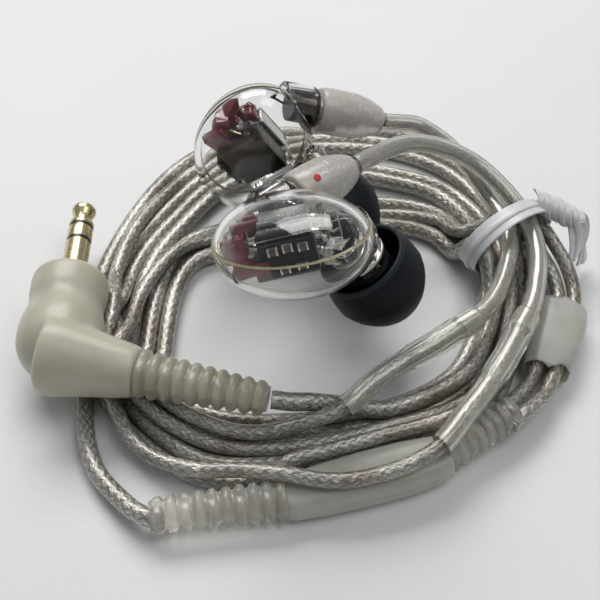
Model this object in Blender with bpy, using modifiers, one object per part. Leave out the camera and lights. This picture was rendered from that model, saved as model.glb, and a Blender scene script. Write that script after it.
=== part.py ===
"""In-ear monitors on a coiled, detachable cable.

Lengths are written in millimetres and turned into metres by the helpers.
World frame: +Z up, floor at Z = 0, coil lying on the floor.
Monitor frame: X along the shell's long side, Z out of the shell's outer half.
The left monitor is the right one mirrored in its own Z.
"""

import math

import bmesh
import bpy
from mathutils import Matrix, Vector

MM = 0.001
SHIFT = Vector((-9.4, -8.8, 0.0))  # moves the whole set so that its base is centred

# Where each monitor sits: centre, X direction, Z direction, hand.
SIDES = {
    "right": ((-5.0, -3.4, 22.4), (0.723, -0.542, 0.428), (-0.242, 0.383, 0.892), 1),
    "left": ((-10.7, 23.8, 13.4), (-0.190, 0.069, -0.979), (0.133, -0.987, -0.095), -1),
}

# Shell.
SHELL = (11.4, 8.5, 6.2)
WALL = 0.8
SEAM = 1.2
SEAM_HALF = 0.25
HOUSING_R = 3.1

# Connector axis: a point on it and its direction, in the monitor frame.
PLUG_POINT = (-7.78, 1.40, 1.84)
PLUG_DIR = (0.177, 0.984, 0.0)
BOOT_START = 7.05
BOOT_END = 17.0

# Nozzle axis: the eartip's rim centre and the way out.
RIM_POINT = (1.70, 9.40, -6.80)
NOZZLE_DIR = (0.047, 0.422, -0.905)

# The inner parts are laid out square to this direction.
LAY_E1 = (0.755, 0.655)
LAY_E2 = (-0.655, 0.755)

# Cord sizes.
MAIN_R = 1.2
BRANCH_R = 1.0
EAR_TUBE_R = 1.3
SLEEVE_WIDE_R = 1.55
SLEEVE_NARROW_R = 1.35

# Plug.
JACK_X = -35.4
JACK_Z = 6.6
JACK_FACE_Y = 4.6
JACK_R = 1.75
BALL_CENTRE = (-35.4, -6.2, 6.6)
BALL_R = 5.8
RELIEF_START = (-29.6, -10.8, 7.7)
RELIEF_END = (-8.0, -15.6, 7.0)

for thing in list(bpy.data.objects):
    bpy.data.objects.remove(thing, do_unlink=True)

PARTS = bpy.data.collections.new("in_ear_monitors")
CUTTERS = bpy.data.collections.new("cutters")
bpy.context.scene.collection.children.link(PARTS)
bpy.context.scene.collection.children.link(CUTTERS)


# ---------------------------------------------------------------- helpers


def add(name, data, matrix=None, cutter=False):
    """An object in the parts or the cutters collection."""
    thing = bpy.data.objects.new(name, data)
    (CUTTERS if cutter else PARTS).objects.link(thing)
    if matrix is not None:
        thing.matrix_world = matrix
    if cutter:
        thing.hide_render = True
        thing.display_type = "WIRE"
    return thing


def axis_frame(point, direction, side=None):
    """A frame at point with Z along direction, in metres."""
    z = Vector(direction).normalized()
    helper = Vector((0, 0, 1)) if abs(z.z) < 0.9 else Vector((1, 0, 0))
    if side is not None:
        helper = Vector(side)
    x = (helper - z * helper.dot(z)).normalized()
    y = z.cross(x)
    turn = Matrix((x, y, z)).transposed().to_4x4()
    return Matrix.Translation(Vector(point) * MM) @ turn


def world(point):
    return Matrix.Translation(SHIFT * MM) @ Matrix.Translation(Vector(point) * MM)


def shifted(matrix):
    return Matrix.Translation(SHIFT * MM) @ matrix


def lathe(name, profile, matrix, steps=20, cutter=False, closed=False):
    """Turns (radius, height) points round Z; the outer side runs top to bottom."""
    data = bpy.data.meshes.new(name)
    points = [(r * MM, 0.0, h * MM) for r, h in profile]
    edges = [(i, i + 1) for i in range(len(points) - 1)]
    if closed:
        edges.append((len(points) - 1, 0))
    data.from_pydata(points, edges, [])
    thing = add(name, data, matrix, cutter)
    screw = thing.modifiers.new("turn", "SCREW")
    screw.axis = "Z"
    screw.angle = 2 * math.pi
    screw.steps = steps
    screw.render_steps = steps
    screw.use_merge_vertices = True
    screw.merge_threshold = 0.00001
    return thing


def rod(name, radius, low, high, matrix, steps=20, cutter=False):
    profile = [(0, high), (radius, high), (radius, low), (0, low)]
    return lathe(name, profile, matrix, steps, cutter)


def ring(name, outer, inner, low, high, matrix, steps=20, cutter=False):
    profile = [(outer, high), (outer, low), (inner, low), (inner, high)]
    return lathe(name, profile, matrix, steps, cutter, closed=True)


def block(name, size, matrix, bevel=0.0, segments=1, cutter=False):
    mesh = bmesh.new()
    bmesh.ops.create_cube(mesh, size=1.0)
    for v in mesh.verts:
        v.co = Vector((v.co.x * size[0], v.co.y * size[1], v.co.z * size[2])) * MM
    data = bpy.data.meshes.new(name)
    mesh.to_mesh(data)
    mesh.free()
    thing = add(name, data, matrix, cutter)
    if bevel:
        edge = thing.modifiers.new("edge", "BEVEL")
        edge.width = bevel * MM
        edge.segments = segments
        edge.limit_method = "ANGLE"
    return thing


def ellipsoid(name, axes, matrix, cutter=False, around=24, rings=12):
    mesh = bmesh.new()
    bmesh.ops.create_uvsphere(mesh, u_segments=around, v_segments=rings, radius=1.0)
    for v in mesh.verts:
        v.co = Vector((v.co.x * axes[0], v.co.y * axes[1], v.co.z * axes[2])) * MM
    data = bpy.data.meshes.new(name)
    mesh.to_mesh(data)
    mesh.free()
    return add(name, data, matrix, cutter)


def oval(name, axes, height, matrix, cutter=False, around=40):
    """An upright elliptical cylinder."""
    mesh = bmesh.new()
    bmesh.ops.create_cone(
        mesh, cap_ends=True, segments=around, radius1=1.0, radius2=1.0, depth=1.0
    )
    for v in mesh.verts:
        v.co = Vector((v.co.x * axes[0], v.co.y * axes[1], v.co.z * height)) * MM
    data = bpy.data.meshes.new(name)
    mesh.to_mesh(data)
    mesh.free()
    return add(name, data, matrix, cutter)


def boolean(thing, tool, operation):
    step = thing.modifiers.new(operation.lower(), "BOOLEAN")
    step.solver = "EXACT"
    step.operation = operation
    step.object = tool
    return thing


def tube(name, points, radius, radii=None):
    """A round cord through the points."""
    curve = bpy.data.curves.new(name, "CURVE")
    curve.dimensions = "3D"
    curve.bevel_depth = radius * MM
    curve.bevel_resolution = 2
    curve.use_fill_caps = True
    line = curve.splines.new("POLY")
    line.points.add(len(points) - 1)
    for i, point in enumerate(points):
        line.points[i].co = (Vector(point) * MM).to_4d()
        line.points[i].radius = radii[i] / radius if radii else 1.0
    return add(name, curve, shifted(Matrix()))


def smooth(points, per_span):
    """More points along a Catmull-Rom curve through the given ones."""
    p = [Vector(q) for q in points]
    p = [p[0] * 2 - p[1]] + p + [p[-1] * 2 - p[-2]]
    out = []
    for i in range(1, len(p) - 2):
        for k in range(per_span):
            t = k / per_span
            a = p[i] * 2
            b = p[i + 1] - p[i - 1]
            c = p[i - 1] * 2 - p[i] * 5 + p[i + 1] * 4 - p[i + 2]
            d = p[i] * 3 - p[i - 1] - p[i + 1] * 3 + p[i + 2]
            out.append((a + b * t + c * t * t + d * t * t * t) * 0.5)
    out.append(p[-2])
    return out


# ---------------------------------------------------------------- monitors


def monitor_frame(side):
    centre, x_dir, z_dir, hand = SIDES[side]
    z = Vector(z_dir).normalized()
    x = Vector(x_dir)
    x = (x - z * x.dot(z)).normalized()
    y = z.cross(x)
    turn = Matrix((x, y, z)).transposed().to_4x4()
    return world(centre) @ turn, hand


def mirrored(values, hand):
    return (values[0], values[1], values[2] * hand)


def inner(e1, e2, height, hand):
    """A point of the inner layout, as a frame square to it."""
    x = LAY_E1[0] * e1 + LAY_E2[0] * e2
    y = LAY_E1[1] * e1 + LAY_E2[1] * e2
    turn = Matrix.Rotation(math.atan2(LAY_E1[1], LAY_E1[0]), 4, "Z")
    return Matrix.Translation(Vector((x, y, height * hand)) * MM) @ turn


def shell_half(side, name, outer_half):
    base, hand = monitor_frame(side)
    plug = base @ axis_frame(mirrored(PLUG_POINT, hand), mirrored(PLUG_DIR, hand))
    nozzle = base @ axis_frame(mirrored(RIM_POINT, hand), mirrored(NOZZLE_DIR, hand))
    keep = hand if outer_half else -hand
    edge = SEAM * hand + SEAM_HALF * keep
    half = ellipsoid(f"{side}_{name}", SHELL, base)
    cut = block(
        f"cut_{side}_{name}",
        (40, 40, 20),
        base @ Matrix.Translation(Vector((0, 0, edge + 10 * keep)) * MM),
        cutter=True,
    )
    boolean(half, cut, "INTERSECT")
    if outer_half:
        boolean(half, rod(f"housing_{side}", HOUSING_R, 1.5, 6.1, plug, cutter=True), "UNION")
    else:
        boss = [(0, -1.6), (3.6, -1.6), (4.0, -4.0), (4.0, -6.0), (0, -6.0)]
        boolean(half, lathe(f"boss_{side}", boss, nozzle, cutter=True), "UNION")
    hollow = tuple(a - WALL for a in SHELL)
    boolean(half, ellipsoid(f"hollow_{side}_{name}", hollow, base, cutter=True), "DIFFERENCE")
    if outer_half:
        bore = [(0, 14), (3.6, 14), (3.6, 6.12), (2.4, 6.12), (2.4, 0.5), (0, 0.5)]
        boolean(half, lathe(f"bore_{side}", bore, plug, cutter=True), "DIFFERENCE")
    else:
        gap = rod(f"clear_{side}", HOUSING_R + 0.4, 0.5, 14.0, plug, cutter=True)
        boolean(half, gap, "DIFFERENCE")
        way = rod(f"way_{side}", 2.4, -8.0, 0.0, nozzle, cutter=True)
        boolean(half, way, "DIFFERENCE")


def seam_gasket(side):
    base, hand = monitor_frame(side)
    plug = base @ axis_frame(mirrored(PLUG_POINT, hand), mirrored(PLUG_DIR, hand))
    at = base @ Matrix.Translation(Vector((0, 0, SEAM * hand)) * MM)
    rim = (SHELL[0] * 0.981 + 0.10, SHELL[1] * 0.981 + 0.10)
    bead = oval(f"{side}_seam_gasket", rim, 0.4, at)
    hole = (rim[0] - WALL - 0.1, rim[1] - WALL - 0.1)
    boolean(bead, oval(f"hole_{side}_seam", hole, 2.0, at, cutter=True), "DIFFERENCE")
    gap = rod(f"clear_seam_{side}", HOUSING_R + 0.4, 0.5, 14.0, plug, cutter=True)
    boolean(bead, gap, "DIFFERENCE")


def connector(side):
    base, hand = monitor_frame(side)
    plug = base @ axis_frame(mirrored(PLUG_POINT, hand), mirrored(PLUG_DIR, hand))
    socket = [
        (0.0, 3.4), (1.35, 3.4), (1.35, 6.4), (2.9, 6.4), (2.9, 6.2), (2.3, 6.2), (2.3, 2.7),
        (0.0, 2.7),
    ]
    lathe(f"{side}_connector_socket", socket, plug)
    pin = [
        (0.0, 10.0), (1.2, 10.0), (1.2, 7.0), (2.4, 7.0), (2.4, 6.65), (1.1, 6.65),
        (1.1, 5.05), (0.75, 5.05), (0.75, 4.55), (1.1, 4.55), (1.1, 3.9), (0.0, 3.8),
    ]
    lathe(f"{side}_connector_plug", pin, plug)
    ring(f"{side}_snap_ring", 1.25, 0.85, 4.62, 4.98, plug)
    boot = [
        (1.25, 10.1), (1.25, BOOT_START), (3.1, BOOT_START), (3.3, 7.6), (3.3, 12.2),
        (2.9, 14.2), (2.3, 15.8), (1.9, BOOT_END), (0.0, BOOT_END),
    ]
    boot = list(reversed(boot)) + [(0.0, 10.1)]
    lathe(f"{side}_connector_boot", boot, plug)
    if side == "right":
        dot_place(plug)


def dot_place(plug):
    """The red channel dot lies on the top of the right boot."""
    up = plug.inverted().to_3x3() @ Vector((0.0, -0.5, 0.866))
    up = Vector((up.x, up.y, 0.0)).normalized()
    at = plug @ Matrix.Translation((up * 3.34 + Vector((0, 0, 9.6))) * MM)
    turn = up.to_track_quat("Z", "Y").to_matrix().to_4x4()
    rod("right_channel_dot", 0.55, 0.0, 0.25, at @ turn, steps=16)


def nozzle_parts(side):
    base, hand = monitor_frame(side)
    nozzle = base @ axis_frame(mirrored(RIM_POINT, hand), mirrored(NOZZLE_DIR, hand))
    pipe = [
        (2.2, 4.6), (2.55, 4.3), (2.55, 3.7), (2.2, 3.4), (2.2, -5.4), (1.5, -5.4), (1.5, 4.6),
    ]
    lathe(f"{side}_nozzle", pipe, nozzle, closed=True)
    ring(f"{side}_nozzle_collar", 3.5, 2.3, -1.0, -0.3, nozzle)
    rod(f"{side}_damper", 1.4, 2.2, 3.2, nozzle, steps=16)
    tip = [
        (2.0, 9.6), (2.6, 10.0), (3.7, 9.4), (5.0, 7.9), (6.0, 6.1), (6.42, 4.4), (6.4, 3.0),
        (6.1, 1.3), (5.75, 0.0), (5.2, 0.1), (5.5, 1.4), (5.75, 3.2), (5.7, 4.6), (5.3, 5.9),
        (4.5, 7.1), (3.4, 7.3), (3.3, 0.9), (2.65, 0.9), (2.65, 5.6), (2.0, 5.9),
    ]
    lathe(f"{side}_eartip", tip, nozzle, steps=20, closed=True)


def drivers(side):
    base, hand = monitor_frame(side)

    def at(e1, e2, height):
        return base @ inner(e1, e2, height, hand)

    block(f"{side}_mid_driver", (6.4, 4.0, 2.9), at(-0.3, 1.8, 2.0), 0.25)
    block(f"{side}_high_driver", (6.6, 2.9, 2.6), at(-0.3, -2.2, 1.7), 0.25)
    block(f"{side}_low_driver", (7.6, 6.6, 2.9), at(-0.9, 0.1, -1.5), 0.3)
    board = block(f"{side}_crossover_board", (5.8, 0.5, 4.2), at(0.3, -4.4, 0.2))
    places = ((-1.7, 1.6), (0.1, 1.7), (1.9, 1.5), (-0.8, -0.9), (1.3, -0.8))
    for i, (e1, height) in enumerate(places):
        chip = block(f"chip_{side}_{i}", (1.2, 1.0, 0.9), at(e1, -4.9, height), cutter=True)
        boolean(board, chip, "UNION")
    manifold = block(f"{side}_acoustic_manifold", (1.3, 7.0, 5.6), at(4.2, 0.2, 0.4))
    step = block(f"step_{side}", (2.2, 3.4, 3.2), at(5.8, 0.6, 0.6), cutter=True)
    boolean(manifold, step, "UNION")
    bracket = block(f"{side}_acoustic_filter", (1.0, 3.4, 2.6), at(-5.6, -0.8, 1.6))
    foot = block(f"foot_{side}", (1.5, 1.8, 3.6), at(-6.2, -1.6, 0.4), cutter=True)
    wing = block(f"wing_{side}", (1.5, 1.1, 1.8), at(-6.7, -1.1, 0.8), cutter=True)
    boolean(bracket, foot, "UNION")
    boolean(bracket, wing, "UNION")


for which in SIDES:
    shell_half(which, "outer_shell", True)
    shell_half(which, "inner_shell", False)
    seam_gasket(which)
    connector(which)
    nozzle_parts(which)
    drivers(which)


# ---------------------------------------------------------------- cable


def boot_exit(side):
    base, hand = monitor_frame(side)
    plug = base @ axis_frame(mirrored(PLUG_POINT, hand), mirrored(PLUG_DIR, hand))
    start = plug @ Vector((0, 0, (BOOT_END + 0.05) * MM))
    further = plug @ Vector((0, 0, (BOOT_END + 2.0) * MM))
    return start / MM - SHIFT, further / MM - SHIFT


EAR_RIGHT = [
    (10.2, 20.2, 17.4), (15.4, 22.6, 15.0), (20.3, 22.4, 12.6), (24.0, 20.4, 10.6),
    (27.2, 17.2, 8.6), (28.5, 14.1, 8.1), (29.0, 9.4, 8.0), (28.6, 5.2, 8.0),
    (27.6, 0.8, 7.6), (26.2, -2.4, 7.3),
]
EAR_LEFT = [
    (12.9, 28.4, 14.0), (17.2, 27.4, 11.6), (20.4, 25.2, 9.4), (22.6, 21.6, 8.0),
    (24.3, 17.9, 7.6), (25.4, 13.7, 7.5), (25.2, 8.9, 7.4), (23.4, 3.0, 7.6),
    (21.1, -1.2, 7.8), (19.2, -3.1, 7.9),
]
SLEEVE_LEFT = [
    (19.1, -3.2, 7.9), (14.2, -7.0, 7.9), (9.2, -10.2, 7.5), (5.1, -13.2, 7.0), (1.5, -16.5, 6.6),
]
SLEEVE_RIGHT = [
    (26.1, -2.5, 7.3), (23.0, -8.4, 7.3), (19.6, -13.8, 7.2), (16.1, -18.4, 7.0),
    (13.2, -22.1, 6.8),
]
BRANCH_LEFT = [
    (1.4, -16.6, 6.6), (-3.8, -18.5, 6.2), (-10.0, -19.2, 5.9), (-16.0, -17.4, 5.7),
]
BRANCH_RIGHT = [
    (13.1, -22.2, 6.8), (8.0, -25.2, 6.6), (0.8, -27.2, 6.3), (-5.4, -26.8, 6.1),
    (-11.3, -24.6, 5.8), (-16.4, -21.6, 5.6),
]
PLUG_TAIL = [(-7.6, -15.6, 7.0), (-5.0, -15.7, 6.6), (-2.4, -15.4, 6.1)]
SPLIT_TAIL = [(-22.8, -29.6, 2.7), (-25.6, -27.0, 2.0), (-28.2, -24.2, 1.6), (-29.4, -22.6, 1.5)]
SLIDE_LEFT = [
    (23.1, -13.7, 3.6), (25.9, -10.7, 3.0), (28.6, -5.0, 2.7), (30.6, 0.5, 2.7),
    (32.2, 4.9, 2.8), (32.5, 7.4, 2.9),
]
SLIDE_RIGHT = [
    (24.5, -15.5, 3.6), (27.9, -12.0, 3.0), (30.9, -5.8, 2.7), (32.9, -0.3, 2.7),
    (34.4, 4.1, 2.8), (34.9, 7.0, 2.9),
]

# The coil's outline: inner edge, outer edge, heights of its top and underside.
COIL = [
    ((22.2, 4.8), (28.2, 7.6), 5.6, 0.3),
    ((23.2, 9.9), (27.6, 13.2), 5.1, 1.5),
    ((21.8, 12.8), (25.9, 17.2), 5.2, 1.4),
    ((17.6, 14.4), (26.0, 27.0), 5.2, 0.1),
    ((12.0, 15.4), (21.6, 35.6), 5.2, 0.1),
    ((6.0, 16.4), (12.8, 41.0), 4.8, 0.1),
    ((-2.6, 30.6), (1.6, 42.0), 4.6, 0.1),
    ((-13.0, 34.8), (-12.2, 38.6), 3.8, 0.1),
    ((-19.0, 30.0), (-20.8, 33.0), 3.6, 0.1),
    ((-22.4, 20.8), (-26.8, 22.6), 5.0, 0.1),
    ((-25.2, 13.4), (-30.2, 14.6), 5.0, 0.1),
    ((-26.8, 6.0), (-31.0, 5.4), 3.6, 0.1),
    ((-26.2, -1.2), (-30.4, -1.0), 3.0, 0.1),
    ((-23.2, -6.0), (-30.6, -9.8), 3.4, 0.1),
    ((-19.4, -9.2), (-29.6, -20.4), 3.9, 0.1),
    ((-13.6, -11.6), (-21.8, -25.2), 4.1, 0.1),
    ((-6.6, -13.4), (-11.8, -24.6), 4.2, 0.1),
    ((0.6, -14.4), (-1.0, -21.2), 4.6, 0.1),
    ((8.0, -14.2), (7.6, -19.2), 5.0, 0.1),
    ((14.0, -12.0), (14.6, -17.0), 5.2, 0.1),
    ((18.2, -8.2), (21.6, -12.0), 5.2, 0.1),
    ((20.8, -3.2), (25.0, -5.0), 5.4, 0.1),
    ((21.6, 0.6), (26.0, 0.4), 5.5, 0.1),
]


def coil():
    """A closed ring through the stations, each a flattened eight-sided section."""
    mesh = bmesh.new()
    rows = []
    for (ax, ay), (bx, by), top, under in COIL:
        low, high = Vector((ax, ay, 0)), Vector((bx, by, 0))
        across = high - low
        row = []
        for share, level in (
            (0.0, 0.32), (0.0, 0.68), (0.14, 1.0), (0.86, 1.0),
            (1.0, 0.68), (1.0, 0.32), (0.86, 0.0), (0.14, 0.0),
        ):
            point = low + across * share
            point.z = under + (top - under) * level
            row.append(mesh.verts.new((point + SHIFT) * MM))
        rows.append(row)
    for i, row in enumerate(rows):
        after = rows[(i + 1) % len(rows)]
        for k in range(8):
            n = (k + 1) % 8
            mesh.faces.new((row[k], row[n], after[n], after[k]))
    bmesh.ops.recalc_face_normals(mesh, faces=mesh.faces)
    data = bpy.data.meshes.new("cable_coil")
    mesh.to_mesh(data)
    mesh.free()
    add("cable_coil", data)


def ear_side(side, way, sleeve, branch):
    start, further = boot_exit(side)
    tube(f"{side}_over_ear_tube", smooth([start, further] + way, 1), EAR_TUBE_R)
    line = smooth(sleeve, 2)
    sizes = [SLEEVE_WIDE_R if i <= 4 else SLEEVE_NARROW_R for i in range(len(line))]
    gap = (Vector(sleeve[1]) - Vector(sleeve[0])).normalized() * 0.35
    line[0] = line[0] + gap
    tube(f"{side}_sleeve", line, SLEEVE_WIDE_R, sizes)
    out = smooth(branch, 2)
    out[0] = out[0] + (out[1] - out[0]).normalized() * 0.35
    tube(f"{side}_branch_cable", out, BRANCH_R)


def ribbed(name, start, end, big, small, ribs, bore=0.0):
    """A tapered strain relief with raised rings."""
    a, b = Vector(start), Vector(end)
    length = (b - a).length
    profile = [(0.0, length)]
    for i in range(ribs):
        low = length * (ribs - 1 - i) / ribs
        pitch = length / ribs
        for share, sink in ((0.85, 0.0), (0.5, 0.0), (0.18, 0.45)):
            at = low + pitch * share
            radius = big + (small - big) * at / length - sink
            profile.append((radius, at))
    profile.append((big, 0.0))
    profile.append((0.0, 0.0))
    lathe(name, profile, shifted(axis_frame(start, b - a)), steps=12)


def jack():
    """The three-contact plug, its overmoulds and the ribbed relief."""
    frame = shifted(axis_frame((JACK_X, JACK_FACE_Y, JACK_Z), (0, 1, 0)))
    tip = [
        (0.0, 14.0), (0.6, 13.9), (1.1, 13.3), (JACK_R, 12.3), (1.2, 11.5), (JACK_R, 10.6),
        (JACK_R, 9.9), (0.0, 9.9),
    ]
    lathe("plug_tip_contact", tip, frame)
    rod("plug_front_insulator", JACK_R, 9.35, 9.85, frame)
    rod("plug_ring_contact", JACK_R, 7.2, 9.3, frame)
    rod("plug_rear_insulator", JACK_R, 6.65, 7.15, frame)
    rod("plug_sleeve_contact", JACK_R, -3.0, 6.6, frame)
    collar = [
        (0.0, -3.05), (1.85, -3.05), (1.85, 0.0), (4.6, 0.0), (5.2, -0.6), (5.2, -5.4),
        (4.7, -5.8), (0.0, -5.8),
    ]
    lathe("plug_collar", collar, frame)
    elbow = ellipsoid("plug_elbow", (BALL_R, BALL_R, BALL_R), world(BALL_CENTRE))
    front = shifted(axis_frame((JACK_X, JACK_FACE_Y - 5.85 + 10, JACK_Z), (0, 1, 0)))
    flat = block("cut_elbow", (20, 20, 20), front, cutter=True)
    boolean(elbow, flat, "DIFFERENCE")
    start = Vector(RELIEF_START)
    end = Vector(RELIEF_END)
    back = shifted(axis_frame(start, end - start))
    beyond = back @ Matrix.Translation(Vector((0, 0, 10)) * MM)
    far = block("cut_relief", (20, 20, 20), beyond, cutter=True)
    boolean(elbow, far, "DIFFERENCE")
    ribbed("plug_relief", start + (end - start).normalized() * 0.1, end, 3.4, 2.1, 12)


def splitter():
    middle = world((4.2, -24.2, 2.5)) @ Matrix.Rotation(math.radians(16.5), 4, "Z")
    body = block("splitter_body", (19.0, 6.8, 4.6), middle, 1.5, 2)
    body.data.transform(Matrix.Translation((0, 0, -0.2 * MM)))
    ribbed("splitter_main_relief", (-5.6, -27.4, 2.75), (-22.0, -29.6, 2.75), 2.6, 2.3, 10)
    ribbed("splitter_branch_relief", (13.8, -21.2, 2.9), (23.3, -14.9, 3.6), 2.6, 2.4, 8)


def cord_slider():
    frame = world((30.7, -2.3, 2.5)) @ Matrix.Rotation(math.radians(-20.0), 4, "Z")
    body = block("cord_slider", (7.6, 12.6, 4.8), frame, 1.1, 2)
    for i, line in enumerate((SLIDE_LEFT, SLIDE_RIGHT)):
        a, b = Vector(line[2]), Vector(line[3])
        hole = shifted(axis_frame(a, b - a))
        slot = rod(f"slot_{i}", BRANCH_R + 0.4, -12.0, 18.0, hole, steps=16, cutter=True)
        boolean(body, slot, "DIFFERENCE")


def twist_tie():
    frame = shifted(axis_frame((25.6, 13.6, 5.75), (0.62, -0.78, 0.0), (0.0, 0.0, 1.0)))
    band = oval("tie_band", (5.75, 7.4), 3.4, frame, around=32)
    boolean(band, oval("hole_tie", (5.05, 6.7), 6.0, frame, cutter=True, around=32), "DIFFERENCE")
    tail = [
        (32.2, 17.6, 8.4), (34.0, 16.4, 9.4), (36.0, 15.6, 8.8), (37.4, 14.4, 6.6),
        (37.2, 12.9, 3.6),
    ]
    tube("tie_twisted_ends", smooth(tail, 2), 0.9)


coil()
ear_side("right", EAR_RIGHT, SLEEVE_RIGHT, BRANCH_RIGHT)
ear_side("left", EAR_LEFT, SLEEVE_LEFT, BRANCH_LEFT)
tube("plug_end_cable", smooth([PLUG_TAIL[0]] + PLUG_TAIL[1:], 2), MAIN_R)
tube("splitter_end_cable", smooth(SPLIT_TAIL, 2), MAIN_R)
tube("left_slider_cable", SLIDE_LEFT, BRANCH_R)
tube("right_slider_cable", SLIDE_RIGHT, BRANCH_R)
jack()
splitter()
cord_slider()
twist_tie()
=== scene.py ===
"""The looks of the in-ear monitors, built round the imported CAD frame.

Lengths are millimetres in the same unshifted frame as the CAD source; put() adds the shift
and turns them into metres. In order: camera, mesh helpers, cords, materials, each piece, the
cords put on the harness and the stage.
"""

import math

import bmesh
import bpy
import numpy as np
from mathutils import Matrix, Vector, noise


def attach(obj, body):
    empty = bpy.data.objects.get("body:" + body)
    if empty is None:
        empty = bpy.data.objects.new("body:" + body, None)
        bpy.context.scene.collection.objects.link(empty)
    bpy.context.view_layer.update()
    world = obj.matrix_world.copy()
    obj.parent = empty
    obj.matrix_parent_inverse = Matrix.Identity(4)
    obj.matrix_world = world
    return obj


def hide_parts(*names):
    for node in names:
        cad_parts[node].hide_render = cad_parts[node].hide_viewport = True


MM = 0.001
SHIFT = Vector((-9.4, -8.8, 0.0))

SIDES = {
    "right": ((-5.0, -3.4, 22.4), (0.723, -0.542, 0.428), (-0.242, 0.383, 0.892), 1),
    "left": ((-10.7, 23.8, 13.4), (-0.190, 0.069, -0.979), (0.133, -0.987, -0.095), -1),
}
SHELL = (11.4, 8.5, 6.2)
WALL = 0.8
SEAM = 1.2
HOUSING_R = 3.1
PLUG_POINT = (-7.78, 1.40, 1.84)
PLUG_DIR = (0.177, 0.984, 0.0)
RIM_POINT = (1.70, 9.40, -6.80)
NOZZLE_DIR = (0.047, 0.422, -0.905)
LAY_E1 = (0.755, 0.655)
LAY_E2 = (-0.655, 0.755)
BOOT_END = 17.0

MAIN_R, BRANCH_R, EAR_TUBE_R, SLEEVE_R = 1.2, 1.0, 1.3, 1.6
CORD_STEP = 1.2
JACK_X, JACK_Z, JACK_FACE_Y, JACK_R = -35.4, 6.6, 4.6, 1.75
BALL_CENTRE, BALL_R = (-35.4, -6.2, 6.6), 5.8
RELIEF_START, RELIEF_END = (-29.6, -10.8, 7.7), (-8.0, -15.6, 7.0)
MAIN_RELIEF = ((-5.6, -27.4, 2.75), (-22.0, -29.6, 2.75))
BRANCH_RELIEF = ((13.8, -21.2, 2.9), (23.3, -14.9, 3.6))
SPLITTER = ((4.2, -24.2, 2.3), 16.5, (9.5, 3.4, 2.3))
SLIDER = ((30.7, -2.3, 2.5), -20.0, (3.8, 6.3, 2.4))
TIE_CENTRE, TIE_AXIS = (25.6, 13.6, 5.75), (0.62, -0.78, 0.0)
TIE_HALF = (7.05, 5.4)
TIE_ROOM = (6.6, 4.95)
CAMERA_PLACE, CAMERA_TILT, CAMERA_LENS = (-4.0, -92.42, 117.91), 40.0, 64.35

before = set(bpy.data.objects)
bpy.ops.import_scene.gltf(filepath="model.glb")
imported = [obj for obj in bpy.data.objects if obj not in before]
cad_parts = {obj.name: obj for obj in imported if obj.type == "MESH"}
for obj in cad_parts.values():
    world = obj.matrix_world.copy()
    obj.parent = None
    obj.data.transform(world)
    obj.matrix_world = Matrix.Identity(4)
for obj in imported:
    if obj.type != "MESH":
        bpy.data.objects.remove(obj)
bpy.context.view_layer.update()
SCENE = bpy.context.scene


# ---------------------------------------------------------------- camera and light


def camera():
    data = bpy.data.cameras.new("camera")
    data.sensor_width = 36.0
    data.lens = CAMERA_LENS
    thing = bpy.data.objects.new("camera", data)
    SCENE.collection.objects.link(thing)
    thing.location = (Vector(CAMERA_PLACE) + SHIFT) * MM
    thing.rotation_euler = (math.radians(CAMERA_TILT), 0.0, 0.0)
    data.clip_start = 0.005
    SCENE.camera = thing


def lamp(name, place, target, size, power, colour=(1, 1, 1)):
    data = bpy.data.lights.new(name, "AREA")
    data.shape = "RECTANGLE"
    data.size, data.size_y = size
    data.energy = power
    data.color = colour
    thing = bpy.data.objects.new(name, data)
    SCENE.collection.objects.link(thing)
    thing.location = place
    away = Vector(target) - Vector(place)
    thing.rotation_euler = away.to_track_quat("-Z", "Y").to_euler()


camera()


# ---------------------------------------------------------------- mesh helpers


def put(name, points, faces, matrix=None, smooth=30.0, uvs=None):
    """A mesh object from points in millimetres, its vertices set in the row frame."""
    data = bpy.data.meshes.new(name)
    data.from_pydata([tuple(p) for p in points], [], faces)
    if uvs is not None:
        layer = data.uv_layers.new(name="along")
        layer.data.foreach_set("uv", np.asarray(uvs, np.float32).ravel())
    thing = bpy.data.objects.new(name, data)
    SCENE.collection.objects.link(thing)
    turn = matrix or Matrix()
    data.transform(Matrix.Diagonal((MM, MM, MM, 1)) @ Matrix.Translation(SHIFT) @ turn)
    outward(data)
    soften(data, smooth)
    return thing


def outward(data):
    mesh = bmesh.new()
    mesh.from_mesh(data)
    bmesh.ops.recalc_face_normals(mesh, faces=mesh.faces)
    mesh.to_mesh(data)
    mesh.free()


def soften(data, angle):
    """Smooth shading with sharp edges past the angle, in degrees."""
    data.polygons.foreach_set("use_smooth", [angle > 0] * len(data.polygons))
    if angle > 0:
        data.set_sharp_from_angle(angle=math.radians(angle))
    data.update()


def baked(thing, smooth=30.0):
    """Applies the modifiers."""
    graph = bpy.context.evaluated_depsgraph_get()
    data = bpy.data.meshes.new_from_object(thing.evaluated_get(graph))
    thing.modifiers.clear()
    thing.data = data
    soften(data, smooth)


def carve(thing, tool, operation="DIFFERENCE", smooth=30.0):
    """A Boolean with a tool that is then thrown away."""
    step = thing.modifiers.new("carve", "BOOLEAN")
    step.solver = "EXACT"
    step.operation = operation
    step.object = tool
    baked(thing, smooth)
    bpy.data.objects.remove(tool, do_unlink=True)


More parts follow.
